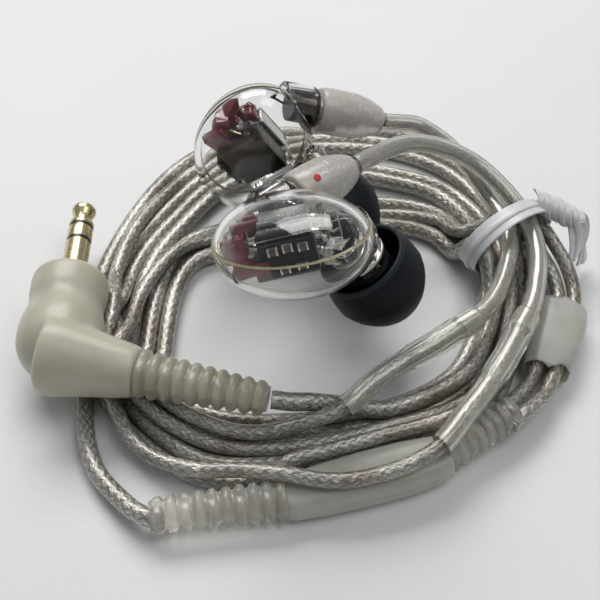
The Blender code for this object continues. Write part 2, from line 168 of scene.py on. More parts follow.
def joined(name, things):
    """One object out of several."""
    mesh = bmesh.new()
    mats = []
    for thing in things:
        if thing.data.materials and thing.data.materials[0] not in mats:
            mats.append(thing.data.materials[0])
    for thing in things:
        part = bmesh.new()
        part.from_mesh(thing.data)
        index = mats.index(thing.data.materials[0]) if thing.data.materials else 0
        for face in part.faces:
            face.material_index = index
        data = bpy.data.meshes.new("part")
        part.to_mesh(data)
        part.free()
        mesh.from_mesh(data)
    data = bpy.data.meshes.new(name)
    mesh.to_mesh(data)
    mesh.free()
    for mat in mats:
        data.materials.append(mat)
    made = bpy.data.objects.new(name, data)
    SCENE.collection.objects.link(made)
    for thing in things:
        bpy.data.objects.remove(thing, do_unlink=True)
    return made


def axis_frame(point, direction, side=None):
    z = Vector(direction).normalized()
    helper = Vector((0, 0, 1)) if abs(z.z) < 0.9 else Vector((1, 0, 0))
    if side is not None:
        helper = Vector(side)
    x = (helper - z * helper.dot(z)).normalized()
    turn = Matrix((x, z.cross(x), z)).transposed().to_4x4()
    return Matrix.Translation(Vector(point)) @ turn


def grid_faces(rows, columns, wrap_rows=False, wrap_columns=True):
    faces = []
    for i in range(rows if wrap_rows else rows - 1):
        for k in range(columns if wrap_columns else columns - 1):
            n, j = (k + 1) % columns, (i + 1) % rows
            faces.append(
                (i * columns + k, i * columns + n, j * columns + n, j * columns + k)
            )
    return faces


def caps(rows, around):
    """The two end faces of a grid that is open along its rows."""
    return [tuple(range(around - 1, -1, -1)), tuple(range((rows - 1) * around, rows * around))]


def run_length(path):
    """The distance along a path at each of its points."""
    return np.concatenate([[0], np.cumsum(np.linalg.norm(np.diff(path, axis=0), axis=1))])


def lathe(name, profile, matrix, steps=64, smooth=30.0):
    """Turns (radius, height) points round Z."""
    profile = [(max(r, 0.0), h) for r, h in profile]
    points = []
    for r, h in profile:
        for k in range(steps):
            a = 2 * math.pi * k / steps
            points.append((r * math.cos(a), r * math.sin(a), h))
    thing = put(name, points, grid_faces(len(profile), steps), matrix, 0)
    weld(thing.data)
    soften(thing.data, smooth)
    return thing


def weld(data):
    mesh = bmesh.new()
    mesh.from_mesh(data)
    bmesh.ops.remove_doubles(mesh, verts=mesh.verts, dist=1e-7)
    bmesh.ops.dissolve_degenerate(mesh, dist=1e-8, edges=mesh.edges)
    bmesh.ops.recalc_face_normals(mesh, faces=mesh.faces)
    mesh.to_mesh(data)
    mesh.free()


def rounded(profile, radius=0.15, steps=3):
    """The profile with its corners cut into short arcs."""
    out = [profile[0]]
    for before, corner, after in zip(profile, profile[1:], profile[2:]):
        a, b, c = (np.array(v, float) for v in (before, corner, after))
        la, lc = np.linalg.norm(a - b), np.linalg.norm(c - b)
        if la < 1e-6 or lc < 1e-6:
            out.append(corner)
            continue
        reach = min(radius, la * 0.45, lc * 0.45)
        start, end = b + (a - b) / la * reach, b + (c - b) / lc * reach
        for i in range(steps + 1):
            t = i / steps
            out.append(tuple(start * (1 - t) ** 2 + b * 2 * t * (1 - t) + end * t * t))
    out.append(profile[-1])
    return out


def block(name, size, matrix, bevel=0.2, segments=3):
    mesh = bmesh.new()
    bmesh.ops.create_cube(mesh, size=1.0)
    for v in mesh.verts:
        v.co = Vector((v.co.x * size[0], v.co.y * size[1], v.co.z * size[2]))
    bmesh.ops.bevel(
        mesh, geom=list(mesh.edges), offset=bevel, segments=segments,
        profile=0.6, affect="EDGES",
    )
    points = [tuple(v.co) for v in mesh.verts]
    mesh.verts.index_update()
    faces = [[v.index for v in f.verts] for f in mesh.faces]
    mesh.free()
    return put(name, points, faces, matrix, 35.0)


def ellipsoid(name, axes, matrix, around=72, rings=36):
    points, faces = [], []
    for i in range(rings + 1):
        t = math.pi * i / rings
        for k in range(around):
            a = 2 * math.pi * k / around
            points.append(
                (
                    axes[0] * math.sin(t) * math.cos(a),
                    axes[1] * math.sin(t) * math.sin(a),
                    axes[2] * math.cos(t),
                )
            )
    thing = put(name, points, grid_faces(rings + 1, around), matrix, 0)
    weld(thing.data)
    soften(thing.data, 40.0)
    return thing


def transport(path):
    """Tangents and two side directions along a path, without twist."""
    path = np.asarray(path, float)
    tangent = np.gradient(path, axis=0)
    tangent /= np.linalg.norm(tangent, axis=1)[:, None]
    first = np.cross(tangent[0], (0.0, 0.0, 1.0))
    if np.linalg.norm(first) < 0.1:
        first = np.cross(tangent[0], (1.0, 0.0, 0.0))
    side = [first / np.linalg.norm(first)]
    for t in tangent[1:]:
        s = side[-1] - t * (side[-1] @ t)
        side.append(s / np.linalg.norm(s))
    side = np.array(side)
    return tangent, side, np.cross(tangent, side)


def sweep(name, path, profile, scale=None, sides=None, smooth=40.0, closed=False):
    """Carries a closed profile along a path; the UV map is (share round, metres along)."""
    path, profile = np.asarray(path, float), np.asarray(profile, float)
    count, around = len(path), len(profile)
    one, two = transport(path)[1:] if sides is None else sides
    scale = np.ones(count) if scale is None else np.asarray(scale, float)
    points = (
        path[:, None]
        + scale[:, None, None] * profile[None, :, :1] * one[:, None]
        + scale[:, None, None] * profile[None, :, 1:] * two[:, None]
    ).reshape(-1, 3)
    faces = grid_faces(count, around, wrap_rows=closed)
    along = run_length(path)
    uvs = []
    for i in range(count if closed else count - 1):
        low = along[i] * MM
        high = (along[i + 1] if i + 1 < count else along[-1] + 1.0) * MM
        for k in range(around):
            a, b = k / around, (k + 1) / around
            uvs += [(a, low), (b, low), (b, high), (a, high)]
    if not closed:
        faces += caps(count, around)
        uvs += [(0.0, 0.0)] * around + [(0.0, float(along[-1] * MM))] * around
    return put(name, points, faces, None, smooth, uvs)


def circle(radius, sides=20):
    a = np.arange(sides) * 2 * np.pi / sides
    return np.stack([radius * np.cos(a), radius * np.sin(a)], 1)


def smooth_path(points, step=CORD_STEP):
    """A Catmull-Rom curve through the points, sampled evenly."""
    p = np.asarray(points, float)
    p = np.vstack([2 * p[0] - p[1], p, 2 * p[-1] - p[-2]])
    out = []
    for i in range(1, len(p) - 2):
        for t in np.arange(0, 1, 0.05):
            a, b = 2 * p[i], p[i + 1] - p[i - 1]
            c = 2 * p[i - 1] - 5 * p[i] + 4 * p[i + 1] - p[i + 2]
            d = 3 * p[i] - p[i - 1] - 3 * p[i + 1] + p[i + 2]
            out.append((a + b * t + c * t * t + d * t**3) * 0.5)
    out.append(p[-2])
    return resampled(np.array(out), step)


def resampled(path, step):
    along = run_length(path)
    count = max(4, int(round(along[-1] / step)) + 1)
    at = np.linspace(0, along[-1], count)
    return np.stack([np.interp(at, along, path[:, k]) for k in range(3)], 1)


def monitor_frame(side):
    centre, x_dir, z_dir, hand = SIDES[side]
    z = Vector(z_dir).normalized()
    x = Vector(x_dir)
    x = (x - z * x.dot(z)).normalized()
    turn = Matrix((x, z.cross(x), z)).transposed().to_4x4()
    return Matrix.Translation(Vector(centre)) @ turn, hand


def plug_frame(side):
    base, hand = monitor_frame(side)
    point, way = Vector(PLUG_POINT), Vector(PLUG_DIR)
    point.z *= hand
    return base @ axis_frame(point, way)


def nozzle_frame(side):
    base, hand = monitor_frame(side)
    point, way = Vector(RIM_POINT), Vector(NOZZLE_DIR)
    point.z *= hand
    way.z *= hand
    return base @ axis_frame(point, way)


# ---------------------------------------------------------------- cords

EAR_RIGHT = [
    (10.2, 20.2, 17.4), (15.4, 22.6, 15.0), (20.3, 22.4, 12.6), (24.0, 20.4, 10.6),
    (27.2, 17.2, 8.6), (28.5, 14.1, 8.1), (29.0, 9.4, 8.0), (28.6, 5.2, 8.0),
    (27.6, 0.8, 7.6), (26.2, -2.4, 7.3),
]
EAR_LEFT = [
    (12.9, 28.4, 14.0), (17.2, 27.4, 11.6), (20.4, 25.2, 9.4), (22.6, 21.6, 8.0),
    (24.3, 17.9, 7.6), (25.4, 13.7, 7.5), (25.2, 8.9, 7.4), (23.4, 3.0, 7.6),
    (21.1, -1.2, 7.8), (19.2, -3.1, 7.9),
]
SLEEVE_LEFT = [
    (19.1, -3.2, 7.9), (14.2, -7.0, 7.9), (9.2, -10.2, 7.5), (5.1, -13.2, 7.0), (1.5, -16.5, 6.6),
]
SLEEVE_RIGHT = [
    (26.1, -2.5, 7.3), (23.0, -8.4, 7.3), (19.6, -13.8, 7.2), (16.1, -18.4, 7.0),
    (13.2, -22.1, 6.8),
]
PLUG_TAIL = [(-7.6, -15.6, 7.0), (-5.0, -15.7, 6.6), (-2.4, -15.4, 6.1), (3.0, -15.6, 5.2)]
SLIDE_LEFT = [
    (21.6, -16.2, 3.4), (23.1, -13.7, 3.6), (25.9, -10.7, 3.0), (28.6, -5.0, 2.7),
    (30.6, 0.5, 2.7), (32.2, 4.9, 2.8), (32.0, 8.4, 3.2), (31.0, 11.6, 3.6),
]
SLIDE_RIGHT = [
    (22.8, -17.2, 3.4), (24.5, -15.5, 3.6), (27.9, -12.0, 3.0), (30.9, -5.8, 2.7),
    (32.9, -0.3, 2.7), (34.4, 4.1, 2.8), (34.3, 8.0, 3.6), (32.6, 12.2, 5.2),
]

# Front lanes under the plug's relief, named from the inner edge out.
FRONT = {
    "a": [(-24.6, -9.0, 1.3), (-19.6, -13.2, 1.2), (-13.6, -15.6, 1.2), (-6.0, -16.3, 1.2)],
    "b": [(-26.2, -9.4, 1.2), (-22.6, -13.4, 1.2), (-18.4, -16.4, 1.2), (-13.4, -18.4, 1.2),
          (-6.4, -18.8, 1.2)],
    "c": [(-28.4, -9.4, 1.2), (-24.8, -14.0, 1.2), (-19.8, -18.2, 1.2), (-14.6, -20.8, 1.2),
          (-6.8, -21.2, 1.2)],
    "d": [(-28.8, -8.4, 3.3), (-25.2, -13.6, 3.3), (-20.6, -17.4, 3.2), (-14.2, -19.9, 3.1),
          (-6.6, -20.2, 3.2)],
    "e": [(-30.6, -9.4, 1.2), (-27.4, -14.6, 1.2), (-22.6, -19.2, 1.2), (-16.6, -22.8, 1.2),
          (-9.6, -23.2, 1.2), (-4.6, -21.6, 3.0)],
}
END_LEFT = [
    (-26.8, -9.0, 3.3), (-21.8, -14.0, 3.3), (-16.0, -17.2, 3.8), (-10.0, -18.8, 5.0),
    (-3.8, -18.2, 6.2), (1.4, -16.6, 6.6),
]
END_RIGHT = [
    (-30.8, -9.0, 3.3), (-28.0, -14.6, 3.3), (-23.6, -20.0, 3.5), (-17.4, -23.4, 4.8),
    (-11.3, -25.0, 5.8), (-5.4, -26.8, 6.1), (0.8, -27.2, 6.3), (8.0, -25.2, 6.6),
    (13.1, -22.2, 6.8),
]
END_MAIN = [
    (-32.2, -8.0, 1.2), (-32.3, -12.0, 1.2), (-31.3, -17.8, 1.2), (-29.4, -22.8, 1.5),
    (-26.0, -26.8, 2.0), (-22.8, -29.6, 2.7), (-20.6, -29.9, 2.75),
]

# Front right: inner and outer edge of the bundle at each station, up to the tie.
RIGHT = [
    ((1.0, -15.8), (0.4, -20.6)), ((8.0, -14.6), (8.8, -18.6)), ((13.4, -12.2), (15.6, -15.8)),
    ((17.8, -8.4), (21.4, -11.6)), ((20.4, -3.4), (24.8, -5.4)), ((21.8, 1.2), (26.6, 0.6)),
    ((22.2, 5.6), (27.4, 6.4)),
]
RIGHT_LANES = {"a": (0.06, 1.2), "b": (0.5, 1.2), "c": (0.96, 1.2), "d": (0.7, 3.2),
    "e": (1.0, 3.4)}
TAIL_LANE = (0.26, 3.3)

# In the tie: place across it and height.
TIE_SLOTS = {
    "a": (-4.4, 3.7), "b": (-2.3, 2.4), "c": (0.2, 2.1), "d": (-0.9, 4.3), "e": (2.4, 2.8),
    "tail": (-3.4, 6.0), "left": (4.4, 3.9), "right": (4.6, 6.2),
}

# Back and left: inner and outer edge, and where the three groups of four lanes lie across.
BACK = [
    ((19.8, 14.8), (28.2, 21.0), (0.14, 0.5, 0.84)),
    ((16.8, 17.4), (26.0, 28.8), (0.14, 0.5, 0.86)),
    ((12.6, 18.8), (21.0, 35.8), (0.12, 0.54, 0.88)),
    ((7.4, 18.6), (12.4, 40.8), (0.10, 0.55, 0.88)),
    ((-0.8, 16.0), (1.6, 42.2), (0.10, 0.65, 0.90)),
    ((-9.6, 14.4), (-9.6, 40.6), (0.10, 0.74, 0.90)),
    ((-16.6, 13.2), (-18.8, 36.4), (0.13, 0.66, 0.86)),
    ((-20.6, 11.6), (-25.0, 27.8), (0.17, 0.58, 0.84)),
    ((-23.4, 7.6), (-29.6, 18.2), (0.20, 0.55, 0.80)),
    ((-25.4, 3.0), (-31.8, 7.4), (0.20, 0.52, 0.82)),
    ((-26.2, -2.6), (-31.8, -1.6), (0.20, 0.52, 0.82)),
]
BACK_LANES = {
    "i1": (0, -1.1, 0), "i2": (0, 1.1, 0), "i3": (0, 0.0, 1), "m1": (1, -1.1, 0),
    "m2": (1, 1.1, 0), "o1": (2, -1.1, 0), "o2": (2, 0.2, 1), "o3": (2, 1.3, 0),
}


def tie_point(across, height):
    axis = Vector(TIE_AXIS).normalized()
    sideways = Vector((0, 0, 1)).cross(axis)
    point = Vector(TIE_CENTRE) + sideways * across
    return (point.x, point.y, height)


def right_side(lane, start=0):
    share, height = TAIL_LANE if lane == "tail" else RIGHT_LANES[lane]
    out = []
    for (ax, ay), (bx, by) in RIGHT[start:]:
        out.append((ax + (bx - ax) * share, ay + (by - ay) * share, height))
    return out + [tie_point(*TIE_SLOTS[lane])]


def back_side(lane):
    group, offset, level = BACK_LANES[lane]
    out = []
    for (ax, ay), (bx, by), centres in BACK:
        way = np.array((bx - ax, by - ay))
        width = np.linalg.norm(way)
        point = np.array((ax, ay)) + way * centres[group] + way / width * offset
        out.append((point[0], point[1], 1.2 + 2.05 * level))
    return out


def boot_exit(side):
    plug = plug_frame(side)
    heights = (BOOT_END - 4.0, BOOT_END + 0.05, BOOT_END + 2.0)
    return [tuple(plug @ Vector((0, 0, s))) for s in heights]


def waypoints():
    """The three cords' routes: turns made of lanes, each joined to the next at the tie."""
    main = list(PLUG_TAIL) + right_side("tail", 1) + back_side("i1") + FRONT["a"]
    for lane, after, front in (("a", "i2", "b"), ("b", "m1", "c")):
        main += right_side(lane) + back_side(after) + FRONT[front]
    main += right_side("c") + back_side("o3") + END_MAIN
    left = list(SLIDE_LEFT) + [tie_point(*TIE_SLOTS["left"])] + back_side("o1") + FRONT["e"]
    left += right_side("e") + back_side("m2") + END_LEFT
    left += SLEEVE_LEFT[::-1][1:] + EAR_LEFT[::-1] + boot_exit("left")[::-1]
    right = list(SLIDE_RIGHT) + [tie_point(*TIE_SLOTS["right"])] + back_side("i3") + FRONT["d"]
    right += right_side("d") + back_side("o2") + END_RIGHT
    right += SLEEVE_RIGHT[::-1][1:] + EAR_RIGHT[::-1] + boot_exit("right")[::-1]
    return main, left, right


def push_from_segment(points, reach, start, end, r0, r1):
    """Moves points out of a tapered round bar."""
    a, b = np.array(start, float), np.array(end, float)
    t = np.clip(((points - a) @ (b - a)) / ((b - a) @ (b - a)), 0, 1)
    near = a + t[:, None] * (b - a)
    away = points - near
    far = np.linalg.norm(away, axis=1) + 1e-9
    short = np.maximum(0, r0 + (r1 - r0) * t + reach - far)
    points += away / far[:, None] * short[:, None]


def push_from_box(points, reach, centre, degrees, half):
    """Moves points out of a box turned about Z, by the shortest way."""
    turn = math.radians(degrees)
    c, s = math.cos(turn), math.sin(turn)
    q = points - np.array(centre)
    x, y = q[:, 0] * c + q[:, 1] * s, q[:, 1] * c - q[:, 0] * s
    z = q[:, 2]
    dx, dy = half[0] + reach - np.abs(x), half[1] + reach - np.abs(y)
    dz = half[2] + reach - z
    inside = (dx > 0) & (dy > 0) & (dz > 0)
    least = np.minimum(np.minimum(dx, dy), dz)
    x = np.where(inside & (least == dx), x + np.sign(x) * dx, x)
    y = np.where(inside & (least == dy), y + np.sign(y) * dy, y)
    z = np.where(inside & (least == dz), z + dz, z)
    points[:, 0] = centre[0] + x * c - y * s
    points[:, 1] = centre[1] + x * s + y * c
    points[:, 2] = centre[2] + z


def push_from_shell(points, reach, side):
    base, _ = monitor_frame(side)
    turn = np.array(base.to_3x3())
    centre = np.array(base.translation)
    q = (points - centre) @ turn
    size = np.array(SHELL)[None, :] + reach[:, None]
    depth = np.linalg.norm(q / size, axis=1)
    hit = depth < 1
    q[hit] /= np.maximum(depth[hit], 0.3)[:, None]
    points[hit] = q[hit] @ turn.T + centre


def keep_in_tie(points, reach):
    axis = np.array(Vector(TIE_AXIS).normalized())
    side = np.cross((0, 0, 1.0), axis)
    q = points - np.array(TIE_CENTRE)
    along, across, up = q @ axis, q @ side, q[:, 2]
    depth = np.sqrt((across / (TIE_ROOM[0] - reach)) ** 2 + (up / (TIE_ROOM[1] - reach)) ** 2)
    out = (np.abs(along) < 2.2) & (np.abs(across) < 9.0) & (depth > 1)
    pull = (1 / depth[out] - 1)[:, None]
    points[out] += pull * (across[out, None] * side + up[out, None] * np.array((0, 0, 1.0)))


def obstacles(points, reach, through):
    """The solid things that the cords lie round; through marks the points in the slider."""
    push_from_segment(points, reach, RELIEF_START, RELIEF_END, 3.3, 2.0)
    push_from_segment(points, reach, (JACK_X, -1.0, JACK_Z), (JACK_X, 4.2, JACK_Z), 5.1, 5.1)
    push_from_segment(points, reach, (JACK_X, 4.6, JACK_Z), (JACK_X, 18.6, JACK_Z), 1.8, 1.8)
    push_from_segment(points, reach, BALL_CENTRE, RELIEF_START, 5.7, 3.4)
    push_from_segment(points, reach, *MAIN_RELIEF, 2.6, 2.3)
    push_from_segment(points, reach, *BRANCH_RELIEF, 2.5, 2.4)
    push_from_box(points, reach, *SPLITTER)
    outside = points[~through]
    push_from_box(outside, reach[~through], *SLIDER)
    points[~through] = outside
    for side in SIDES:
        push_from_shell(points, reach, side)
        nozzle = nozzle_frame(side)
        rim, wide, dome = (nozzle @ Vector((0, 0, s)) for s in (-0.2, 4.4, 9.8))
        push_from_segment(points, reach, rim, wide, 7.6, 8.2)
        push_from_segment(points, reach, wide, dome, 8.2, 4.4)
        plug = plug_frame(side)
        low, high = (plug @ Vector((0, 0, s)) for s in (6.0, 14.0))
        push_from_segment(points, reach, low, high, 3.2, 3.0)
    keep_in_tie(points, reach)
    points[:, 2] = np.maximum(points[:, 2], reach)


def settled(routes, radii, held, passes=260):
    """Lets the turns settle beside and on one another without passing through.

    held gives, for each cord, how much of its start and end stays fixed and how much of its
    start lies in the slider. Near pairs are looked up again every few passes and pushed apart.
    """
    look_again, nearby, gap, sink, homing = 5, 1.6, 0.05, 0.04, 0.985
    ear_hold, sleeve_run = 60.0, 30.0
    paths = [smooth_path(r) for r in routes]
    sizes = [len(p) for p in paths]
    ends = np.cumsum(sizes)
    points = np.vstack(paths)
    home = points.copy()
    which = np.repeat(np.arange(len(paths)), sizes)
    place = np.concatenate([np.arange(n) for n in sizes])
    reach = np.concatenate([np.full(n, r) for n, r in zip(sizes, radii)])
    fixed = np.zeros(len(points), bool)
    through = np.zeros(len(points), bool)
    for i, (front, back, slot) in enumerate(held):
        mine = which == i
        along = place[mine] * CORD_STEP
        total = along[-1]
        fixed[mine] = (along < front) | (along > total - back)
        through[mine] = along < slot
        if back > ear_hold:
            tube = along > total - (back - sleeve_run)
            wide = reach[mine]
            wide[tube] = EAR_TUBE_R
            wide[(along > total - back) & ~tube] = SLEEVE_R
            reach[mine] = wide
    free = ~fixed
    inner = [(e - n, e) for n, e in zip(sizes, ends)]
    for step in range(passes):
        late = step > passes * 0.8
        if step % look_again == 0:
            sq = (points**2).sum(1)
            far2 = sq[:, None] + sq[None] - 2 * points @ points.T
            i, j = np.nonzero(far2 < (reach[:, None] + reach[None] + nearby) ** 2)
            apart = (which[i] != which[j]) | (np.abs(place[i] - place[j]) > 5)
            use = apart & free[i]
            i, j = i[use], j[use]
            limit, share = reach[i] + reach[j] + gap, np.where(fixed[j], 1.0, 0.5)
        for _ in range(2):
            away = points[i] - points[j]
            far = np.linalg.norm(away, axis=1) + 1e-9
            step_by = np.maximum(limit - far, 0) * share
            shift = np.zeros_like(points)
            count = np.zeros(len(points))
            np.add.at(shift, i, away / far[:, None] * step_by[:, None])
            np.add.at(count, i, step_by > 0)
            points += shift / np.maximum(count, 1)[:, None]
            before = points[fixed].copy()
            obstacles(points, reach, through)
            points[fixed] = before
        moved = points - home
        moved[free, 2] -= 0.0 if late else sink
        moved[free, :2] *= 1.0 if late else homing
        for a, b in inner:
            part = moved[a:b]
            still = fixed[a:b]
            for _ in range(1 if late else 3):
                eased = part.copy()
                eased[1:-1] = (part[:-2] + 2 * part[1:-1] + part[2:]) / 4
                part = np.where(still[:, None], part, eased)
            moved[a:b] = part
        points = home + moved
        points[:, 2] = np.maximum(points[:, 2], np.where(fixed, -1.0, reach))
    return [points[a:b].copy() for a, b in inner]


def length_of(path):
    return float(np.linalg.norm(np.diff(path, axis=0), axis=1).sum())


def evened(path):
    """Drops every second point, so that small kinks go, and samples the curve finely."""
    coarse = path[::2] if len(path) % 2 else np.vstack([path[:-1:2], path[-1:]])
    return resampled(smooth_path(coarse, 0.5), 0.6)


def lay_cords():
    """The settled cords, and the length of each sleeve and over-ear tube together."""
    routes = waypoints()
    ear = [
        length_of(smooth_path([*sleeve[::-1], *tube[::-1], *boot_exit(side)[::-1]]))
        for side, sleeve, tube in (
            ("left", SLEEVE_LEFT, EAR_LEFT), ("right", SLEEVE_RIGHT, EAR_RIGHT),
        )
    ]
    held = [(6.0, 6.0, 0.0), (36.0, ear[0] + 1.0, 36.0), (36.0, ear[1] + 1.0, 36.0)]
    laid = settled(routes, (MAIN_R, BRANCH_R, BRANCH_R), held)
    return [evened(p) for p in laid], ear


CORDS, EAR_LENGTHS = lay_cords()


def build_cords():
    names = ("main_cable", "left_cable", "right_cable")
    things = []
    for i, (name, path) in enumerate(zip(names, CORDS)):
        radius = MAIN_R if i == 0 else BRANCH_R
        scale = None
        if i:
            along = np.linspace(0, length_of(path), len(path))
            left_over = along[-1] - along
            ear = EAR_LENGTHS[i - 1]
            sleeve = length_of(smooth_path((SLEEVE_LEFT, SLEEVE_RIGHT)[i - 1]))
            knots = [0, ear - sleeve + 2.0, ear - sleeve + 6.0, ear - 6.0, ear + 1.0, along[-1]]
            scale = np.interp(left_over, knots, [0.72, 0.72, 0.9, 0.9, 1.0, 1.0])
        things.append(sweep(name, path, circle(radius), scale))
    return things


MAIN_CABLE, LEFT_CABLE, RIGHT_CABLE = build_cords()


# ---------------------------------------------------------------- materials


class Nodes:
    """Short calls for a material's node tree."""

    def __init__(self, name, **values):
        self.mat = bpy.data.materials.new(name)
        self.mat.use_nodes = True
        self.tree = self.mat.node_tree
        self.shader = self.tree.nodes["Principled BSDF"]
        self.set(**values)

    def set(self, **values):
        for key, value in values.items():
            socket = self.shader.inputs[key.replace("_", " ").title().replace("Ior", "IOR")]
            if isinstance(value, bpy.types.NodeSocket):
                self.tree.links.new(value, socket)
            else:
                if socket.type == "RGBA" and len(value) == 3:
                    value = (*value, 1.0)
                socket.default_value = value

    def node(self, kind, inputs=(), **settings):
        made = self.tree.nodes.new(kind)
        for key, value in settings.items():
            setattr(made, key, value)
        for key, value in dict(inputs).items():
            if isinstance(value, bpy.types.NodeSocket):
                self.tree.links.new(value, made.inputs[key])
            else:
                made.inputs[key].default_value = value
        return made

    def math(self, operation, a, b=0.0):
        return self.node("ShaderNodeMath", {0: a, 1: b}, operation=operation).outputs[0]

    def plus(self, a, b):
        return self.math("ADD", a, b)

    def times(self, a, b):
        return self.math("MULTIPLY", a, b)

    def noise(self, scale, detail=3.0, rough=0.55, vector=None):
        inputs = {"Scale": scale, "Detail": detail, "Roughness": rough}
        inputs["Vector"] = self.coords() if vector is None else vector
        return self.node("ShaderNodeTexNoise", inputs).outputs["Fac"]

    def coords(self):
        return self.node("ShaderNodeTexCoord").outputs["Object"]

    def ramp(self, fac, stops):
        made = self.node("ShaderNodeValToRGB", {"Fac": fac})
        band = made.color_ramp
        while len(band.elements) < len(stops):
            band.elements.new(0.5)
        for element, (place, colour) in zip(band.elements, stops):
            element.position = place
            element.color = (*colour, 1.0) if len(colour) == 3 else colour
        return made.outputs["Color"]

    def mix(self, fac, a, b):
        made = self.node("ShaderNodeMix", data_type="RGBA")
        for socket, value in ((made.inputs[0], fac), (made.inputs[6], a), (made.inputs[7], b)):
            if isinstance(value, bpy.types.NodeSocket):
                self.tree.links.new(value, socket)
            else:
                socket.default_value = (*value, 1.0) if isinstance(value, tuple) else value
        return made.outputs[2]

    def bump(self, height, strength=0.3, distance=0.0001):
        made = self.node(
            "ShaderNodeBump", {"Height": height, "Strength": strength, "Distance": distance}
        )
        self.tree.links.new(made.outputs["Normal"], self.shader.inputs["Normal"])


def grey(value):
    return (value, value, value)


def braid():
    """Silver and bronze wires wound both ways under a clear jacket, with painted shade towards
    each wire's edges.
    """
    g = Nodes("cable_braid", metallic=0.6, coat_weight=1.0, coat_roughness=0.04)
    split = g.node("ShaderNodeSeparateXYZ",
        {0: g.node("ShaderNodeUVMap", uv_map="along").outputs[0]})
    u, v = split.outputs[0], split.outputs[1]
    wires, pitch = 8.0, 0.0125
    round_u = g.times(u, wires)
    wander = g.times(g.noise(300.0, 2.0), 1.1)
    along_v = g.plus(g.times(v, wires / pitch), wander)
    a, b = g.plus(round_u, along_v), g.math("SUBTRACT", round_u, along_v)
    fa, fb = g.math("FRACT", a), g.math("FRACT", b)
    cell = g.plus(g.math("FLOOR", a), g.math("FLOOR", b))
    over = g.math("ROUND", g.math("FRACT", g.times(cell, 0.5)))
    under = g.math("SUBTRACT", 1.0, over)
    ridge_a = g.math("SINE", g.times(fa, math.pi))
    ridge_b = g.math("SINE", g.times(fb, math.pi))
    height = g.plus(g.times(ridge_a, under), g.times(ridge_b, over))

    def streaks(across, down, seed):
        where = g.node("ShaderNodeCombineXYZ",
            {0: g.times(across, 7.0), 1: g.times(down, 0.9), 2: seed})
        return g.noise(1.0, 2.0, 0.6, where.outputs[0])

    wire = g.plus(
        g.times(streaks(a, b, 0.0), under), g.times(streaks(b, a, 5.0), over)
    )
    patch = g.noise(210.0, 3.0)
    tone = g.plus(wire, g.times(g.math("SUBTRACT", patch, 0.5), 0.35))
    silver = g.ramp(
        tone,
        [
            (0.30, (0.15, 0.14, 0.12)), (0.43, (0.33, 0.315, 0.275)), (0.52, (0.45, 0.435, 0.38)),
            (0.58, (0.56, 0.545, 0.49)), (0.68, (0.95, 0.935, 0.87)),
        ],
    )
    bronze = g.ramp(
        tone,
        [
            (0.30, (0.085, 0.072, 0.058)), (0.45, (0.21, 0.18, 0.145)),
                (0.55, (0.36, 0.305, 0.25)),
            (0.66, (0.72, 0.62, 0.54)),
        ],
    )
    hue = g.ramp(g.noise(120.0, 2.0), [(0.54, (0, 0, 0)), (0.66, (1, 1, 1))])
    colour = g.mix(hue, silver, bronze)
    # Painted shade: the colour is mixed towards a fixed dark brown as each wire's ridge height
    # falls, darkening the wires towards their edges and the grooves between them.
    painted_wire_shade = g.math("POWER", g.math("MAXIMUM", height, 0.02), 0.5)
    colour = g.mix(painted_wire_shade, (0.105, 0.097, 0.082), colour)
    g.set(base_color=colour, roughness=g.plus(g.times(patch, 0.2), 0.24))
    g.bump(g.plus(g.times(height, 0.7), g.times(wire, 0.9)), 0.6, 0.00016)
    return g.mat


def clear(name, colour, ior=1.46, roughness=0.03, texture=0.02, scale=400.0, coat=0.0,
    through=1.0):
    """A clear moulding with the faint waviness of its surface."""
    g = Nodes(
        name, ior=ior, transmission_weight=through, base_color=colour, roughness=roughness,
        coat_weight=coat, coat_roughness=0.03,
    )
    g.bump(g.noise(scale, 2.0), texture, 0.0002)
    return g.mat


def case_clear():
    """Clear acrylic that turns smoky towards each nozzle."""
    g = Nodes("shell_clear", ior=1.42, transmission_weight=1.0, roughness=0.0)
    far = []
    for side in SIDES:
        spot = (nozzle_frame(side) @ Vector((0, 0, -1.5)) + SHIFT) * MM
        made = g.node("ShaderNodeVectorMath", {0: g.coords(), 1: spot}, operation="DISTANCE")
        far.append(made.outputs["Value"])
    near = g.times(g.math("MINIMUM", *far), 1 / MM)
    g.set(base_color=g.ramp(g.times(near, 0.1),
        [(0.40, (0.80, 0.755, 0.69)), (0.66, (0.985, 0.985, 0.98))]))
    g.bump(g.noise(120.0, 2.0), 0.004, 0.0002)
    return g.mat


def milky(name, colour, dark, through=0.0, roughness=0.38, sub=0.7, scale=500.0, radius=0.0022,
    texture=0.12):
    """A translucent overmould, cloudy inside."""
    g = Nodes(
        name, ior=1.42, transmission_weight=through, subsurface_weight=sub,
        subsurface_radius=(1.0, 0.93, 0.72), subsurface_scale=radius,
        coat_weight=0.25, coat_roughness=0.25,
    )
    cloud = g.noise(scale * 0.35, 4.0, 0.6)
    g.set(base_color=g.ramp(cloud, [(0.3, dark), (0.68, colour)]))
    g.set(roughness=g.plus(g.times(g.noise(scale * 2), 0.15), roughness - 0.07))
    g.bump(g.noise(scale, 5.0), texture, 0.0002)
    return g.mat


def metal(name, colour, rough=0.25, scale=900.0, grain=0.06, stretch=(1, 1, 1)):
    g = Nodes(name, metallic=1.0)
    spread = g.node("ShaderNodeMapping", {"Vector": g.coords(), "Scale": stretch}).outputs[0]
    speck = g.noise(scale, 4.0, 0.6, spread)
    dark = tuple(c * 0.72 for c in colour)
    g.set(base_color=g.ramp(speck, [(0.3, dark), (0.65, colour)]))
    g.set(roughness=g.plus(g.times(speck, 0.25), rough - 0.08))
    g.bump(speck, grain, 0.0001)
    return g.mat


